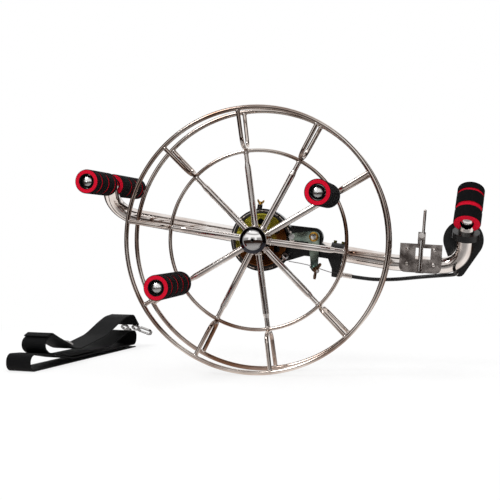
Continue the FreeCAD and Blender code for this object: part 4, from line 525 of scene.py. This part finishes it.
def rivet_dome():
    """One domed head, its flat back a little behind the origin."""
    deselect()
    bpy.ops.mesh.primitive_uv_sphere_add(segments=24, ring_count=16, radius=RIVET_DOME,
                                         rotation=(math.radians(90), 0, 0))
    bpy.ops.object.transform_apply(location=False, rotation=True, scale=False)
    bpy.ops.object.mode_set(mode="EDIT")
    bpy.ops.mesh.select_all(action="SELECT")
    bpy.ops.mesh.bisect(plane_co=(0, RIVET_SINK, 0), plane_no=ALONG_AXLE, use_fill=True, clear_outer=True)
    bpy.ops.object.mode_set(mode="OBJECT")
    return bpy.context.object


def make_rivet_domes():
    """Domed rivet heads in place of the plain ones on the guide plate."""
    # hammered stainless rivets: small bright domes
    bright = metal("rivet_steel", "F0ECEA", "B7B1AC", 0.08)
    repeat_piece(rivet_dome(), [Matrix.Translation((x, PLATE_FRONT, z)) for x, z in RIVETS])
    piece = finish_piece("rivet_domes", "frame", bright)
    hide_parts("guide_rivets")


# ---------------------------------------------------------------- strap

def strap_matrix():
    """The strap's own axes, turned and set down beside the reel."""
    return Matrix.Translation(STRAP_ORIGIN) @ Matrix.Rotation(STRAP_TURN, 4, "Z")


def route_points(corners, finest):
    """Points along straight runs that tangent arcs of the given radii join, all in metres."""
    spots = [Vector((x * MM, 0, z * MM)) for x, z, _ in corners]
    points = [spots[0]]
    for before, corner, after, (_, _, radius) in zip(spots, spots[1:], spots[2:], corners[1:]):
        back, ahead = (before - corner).normalized(), (after - corner).normalized()
        half = back.angle(ahead) / 2
        reach = radius * MM / math.tan(half)
        centre = corner + (back + ahead).normalized() * (radius * MM / math.sin(half))
        first, last = corner + back * reach - centre, corner + ahead * reach - centre
        steps = max(2, math.ceil(math.degrees(math.pi - 2 * half) / finest))
        points += [centre + first.normalized().slerp(last.normalized(), step / steps) * radius * MM
                   for step in range(steps + 1)]
    return points + [spots[-1]]


def ribbon(name, corners, width, thick, material):
    """A flat strap along a route in its own X and Z, as wide as its Y, with a thin rolled edge."""
    points = route_points(corners, FOLD_STEP)
    edge = thick / 2
    section = [(0, 0), (edge * 0.5, edge), (width - edge * 0.5, edge), (width, 0),
               (width - edge * 0.5, -edge), (edge * 0.5, -edge)]
    vertices, faces, along = [], [], []
    run = 0.0
    for number, point in enumerate(points):
        before, after = points[max(number - 1, 0)], points[min(number + 1, len(points) - 1)]
        run += (point - before).length
        ahead = (after - before).normalized()
        up = Vector((-ahead.z, 0, ahead.x))
        for across, height in section:
            vertices.append(point + Vector((0, across, 0)) + up * height)
            along.append((across, run))
    ring = len(section)
    for number in range(len(points) - 1):
        base = number * ring
        for step in range(ring):
            turn = (step + 1) % ring
            faces.append((base + step, base + turn, base + ring + turn, base + ring + step))
    faces.append(tuple(range(ring)))
    faces.append(tuple(range(len(vertices) - 1, len(vertices) - 1 - ring, -1)))
    mesh = bpy.data.meshes.new(name)
    mesh.from_pydata(vertices, [], faces)
    layer = mesh.uv_layers.new(name="weave")
    for loop in mesh.loops:
        across, length = along[loop.vertex_index]
        layer.data[loop.index].uv = (across / width, length)
    mesh.transform(strap_matrix())
    mesh.materials.append(material)
    for polygon in mesh.polygons:
        polygon.use_smooth = True
    piece = bpy.data.objects.new(name, mesh)
    bpy.context.scene.collection.objects.link(piece)
    piece.modifiers.new("edges", "EDGE_SPLIT").split_angle = math.radians(50)
    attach(piece, "frame")
    return piece


def make_strap():
    """The folded strap, and its loose end past the buckle."""
    cloth = webbing()
    strap = ribbon("strap_cloth", STRAP_FOLDS, STRAP_WIDTH, STRAP_THICK, cloth)
    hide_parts("strap_webbing")
    tail = ribbon("strap_tail", TAIL_ROUTE, STRAP_WIDTH, STRAP_THICK, cloth)


# ---------------------------------------------------------------- stage, light and camera

def make_floor():
    """A square pale floor under the lowest point of the reel."""
    half = FLOOR_SIDE / 2
    mesh = bpy.data.meshes.new("floor")
    mesh.from_pydata([(-half, -half, 0), (half, -half, 0), (half, half, 0), (-half, half, 0)],
                     [], [(0, 1, 2, 3)])
    mesh.materials.append(floor_material())
    floor = bpy.data.objects.new("floor", mesh)
    floor.location = (0, 0, FLOOR_Z)
    bpy.context.scene.collection.objects.link(floor)


def floor_material():
    """Pale matt floor, white to the camera away from the model's shadow; to metal it shows a painted
    reflection, a lit strip along the axle in a dark room.
    """
    material, tree, place = new_material("pale_floor")
    faint = patches(tree, place, FLOOR_CLOUD_WIDTH, LINES_BAND, 0.0, 0.4)
    pale = add_node(tree, "Mix", {SHARE: faint, FIRST: srgb("FDFDFD"), SECOND: srgb("F7F7F7")},
                    data_type="RGBA")
    matt = add_node(tree, "BsdfPrincipled", {"Base Color": pale.outputs[MIXED], "Roughness": 0.9,
                                             "Specular IOR Level": 0.1})
    away = add_node(tree, "VectorMath", {0: place}, operation="LENGTH").outputs["Value"]
    bare = add_node(tree, "MapRange", {"Value": away, "From Min": BARE_FROM, "From Max": BARE_TO,
                                       "To Min": BARE_LEAST})
    ahead = add_node(tree, "SeparateXYZ", {0: place}).outputs["Y"]
    ahead = add_node(tree, "Math", {0: ahead, 1: STRIP_DEPTH}, operation="SUBTRACT")
    ahead = add_node(tree, "Math", {0: ahead}, operation="ABSOLUTE")
    strip = add_node(tree, "MapRange", {"Value": ahead, "From Min": STRIP_FADE[0],
                                        "From Max": STRIP_FADE[1]})
    # painted reflection for metal: a lit strip along the axle, with a dark room round it
    room = add_node(tree, "Mix", {SHARE: strip, FIRST: srgb("F4EEEA"), SECOND: srgb("2A1E19")},
                    data_type="RGBA")
    paths = add_node(tree, "LightPath").outputs
    tint = add_node(tree, "Mix", {SHARE: paths["Is Glossy Ray"], FIRST: srgb("FFFFFF"),
                                  SECOND: room.outputs[MIXED]}, data_type="RGBA")
    glow = add_node(tree, "Emission", {"Color": tint.outputs[MIXED], "Strength": 1.0})
    seen = add_node(tree, "Math", {0: paths["Is Camera Ray"], 1: paths["Is Glossy Ray"]},
                    operation="MAXIMUM")
    seen = add_node(tree, "Math", {0: seen, 1: paths["Is Transmission Ray"]}, operation="MAXIMUM")
    share = add_node(tree, "Math", {0: seen, 1: bare}, operation="MULTIPLY")
    both = add_node(tree, "MixShader", {0: share, 1: matt, 2: glow})
    add_node(tree, "OutputMaterial", {"Surface": both})
    return material


def studio_darkness(tree):
    """How dark the studio looks to metal in each direction: walls, a room with two windows, and a beam."""
    way = add_node(tree, "TexCoord").outputs["Generated"]
    parts = add_node(tree, "SeparateXYZ", {0: way}).outputs
    height = add_node(tree, "Math", {0: parts["Z"]}, operation="ABSOLUTE")
    opening = add_node(tree, "MapRange", {"Value": parts["Y"], "From Min": WALLS_START[0],
                                          "From Max": WALLS_START[1]})
    closing = add_node(tree, "MapRange", {"Value": parts["Y"], "From Min": WALLS_STOP[0],
                                          "From Max": WALLS_STOP[1], "To Min": 1.0, "To Max": 0.0})
    walls = add_node(tree, "Math", {0: opening, 1: closing}, operation="MULTIPLY")
    high = add_node(tree, "MapRange", {"Value": parts["Z"], "From Min": CEILING_RISE[0],
                                       "From Max": CEILING_RISE[1]})
    deep = add_node(tree, "MapRange", {"Value": parts["Y"], "From Min": CEILING_DEPTH[0],
                                       "From Max": CEILING_DEPTH[1]})
    above = add_node(tree, "Math", {0: high, 1: deep}, operation="MULTIPLY")
    below = add_node(tree, "Math", {0: 1.0, 1: above}, operation="SUBTRACT")
    walls = add_node(tree, "Math", {0: walls, 1: below}, operation="MULTIPLY")
    window = add_node(tree, "Math", {0: parts["X"], 1: WINDOW_MIDDLE}, operation="ADD")
    window = add_node(tree, "Math", {0: window}, operation="ABSOLUTE")
    window = add_node(tree, "Math", {0: window, 1: WINDOW_APART}, operation="SUBTRACT")
    window = add_node(tree, "Math", {0: window}, operation="ABSOLUTE")
    window = add_node(tree, "MapRange", {"Value": window, "From Min": WINDOW_FADE[0],
                                         "From Max": WINDOW_FADE[1], "To Min": WINDOW_LIGHT,
                                         "To Max": 0.0})
    end = add_node(tree, "MapRange", {"Value": parts["Y"], "From Min": END_LIGHT[0],
                                      "From Max": END_LIGHT[1]})
    light = add_node(tree, "Math", {0: window, 1: end}, operation="MAXIMUM")
    unlit = add_node(tree, "Math", {0: 1.0, 1: light}, operation="SUBTRACT")
    room = add_node(tree, "MapRange", {"Value": height, "From Min": ROOM_FADE[0],
                                       "From Max": ROOM_FADE[1], "To Min": ROOM_DARK, "To Max": 0.0})
    room = add_node(tree, "Math", {0: room, 1: unlit}, operation="MULTIPLY")
    beam = add_node(tree, "Math", {0: height, 1: BEAM_RISE}, operation="SUBTRACT")
    beam = add_node(tree, "Math", {0: beam}, operation="ABSOLUTE")
    beam = add_node(tree, "MapRange", {"Value": beam, "From Min": BEAM_FADE[0],
                                       "From Max": BEAM_FADE[1], "To Min": BEAM_DARK, "To Max": 0.0})
    inside = add_node(tree, "Math", {0: room, 1: beam}, operation="MAXIMUM")
    return add_node(tree, "Math", {0: walls, 1: inside}, operation="MAXIMUM")


def make_world():
    """A white studio for the camera; metal sees it with a dark room round its middle height."""
    world = bpy.data.worlds.new("studio")
    bpy.context.scene.world = world
    world.use_nodes = True
    tree = world.node_tree
    tree.nodes.clear()
    mirrored = add_node(tree, "Mix", {SHARE: studio_darkness(tree), FIRST: srgb("FFFFFF"),
                                      SECOND: srgb("1D1310")}, data_type="RGBA")
    glossy = add_node(tree, "Background", {"Color": mirrored.outputs[MIXED], "Strength": 1.0})
    backdrop = add_node(tree, "Background", {"Color": srgb("FFFFFF"), "Strength": 1.0})
    plain = add_node(tree, "Background", {"Color": srgb("FFFFFF"), "Strength": PLAIN_LIGHT})
    paths = add_node(tree, "LightPath").outputs
    lit = add_node(tree, "MixShader", {0: paths["Is Glossy Ray"], 1: plain, 2: glossy})
    seen = add_node(tree, "Math", {0: paths["Is Camera Ray"], 1: paths["Is Transmission Ray"]},
                    operation="MAXIMUM")
    shown = add_node(tree, "MixShader", {0: seen, 1: lit, 2: backdrop})
    add_node(tree, "OutputWorld", {"Surface": shown})


def lamp(name, place, size, power, in_gloss):
    """A square soft lamp that points at the hub, and shows in polished faces only if asked."""
    light = bpy.data.lights.new(name, "AREA")
    light.shape = "SQUARE"
    light.size = size
    light.energy = power
    thing = bpy.data.objects.new(name, light)
    thing.location = place
    thing.rotation_euler = (-Vector(place)).to_track_quat("-Z", "Y").to_euler()
    thing.visible_glossy = in_gloss
    bpy.context.scene.collection.objects.link(thing)


def make_camera():
    """The camera stands level, a little to the right of the axle, at the height of the hub."""
    right, up = Vector(CAMERA_RIGHT), Vector(CAMERA_UP)
    back = right.cross(up)
    data = bpy.data.cameras.new("camera")
    data.lens = LENS
    data.sensor_width = SENSOR
    camera = bpy.data.objects.new("camera", data)
    spot = Matrix.Translation(Vector(CAMERA_SPOT))
    turn = Matrix((right, up, back)).transposed().to_4x4()
    camera.matrix_world = spot @ turn
    bpy.context.scene.collection.objects.link(camera)
    bpy.context.scene.camera = camera


def make_stage():
    """Floor, white studio and three soft lamps."""
    make_floor()
    make_world()
    for name, place, size, power, in_gloss in LAMPS:
        lamp(name, place, size, power, in_gloss)
    bpy.context.scene.view_settings.view_transform = "Standard"


make_camera()
make_strap()
make_welds()
make_rivet_domes()
dress_nodes()
make_stage()
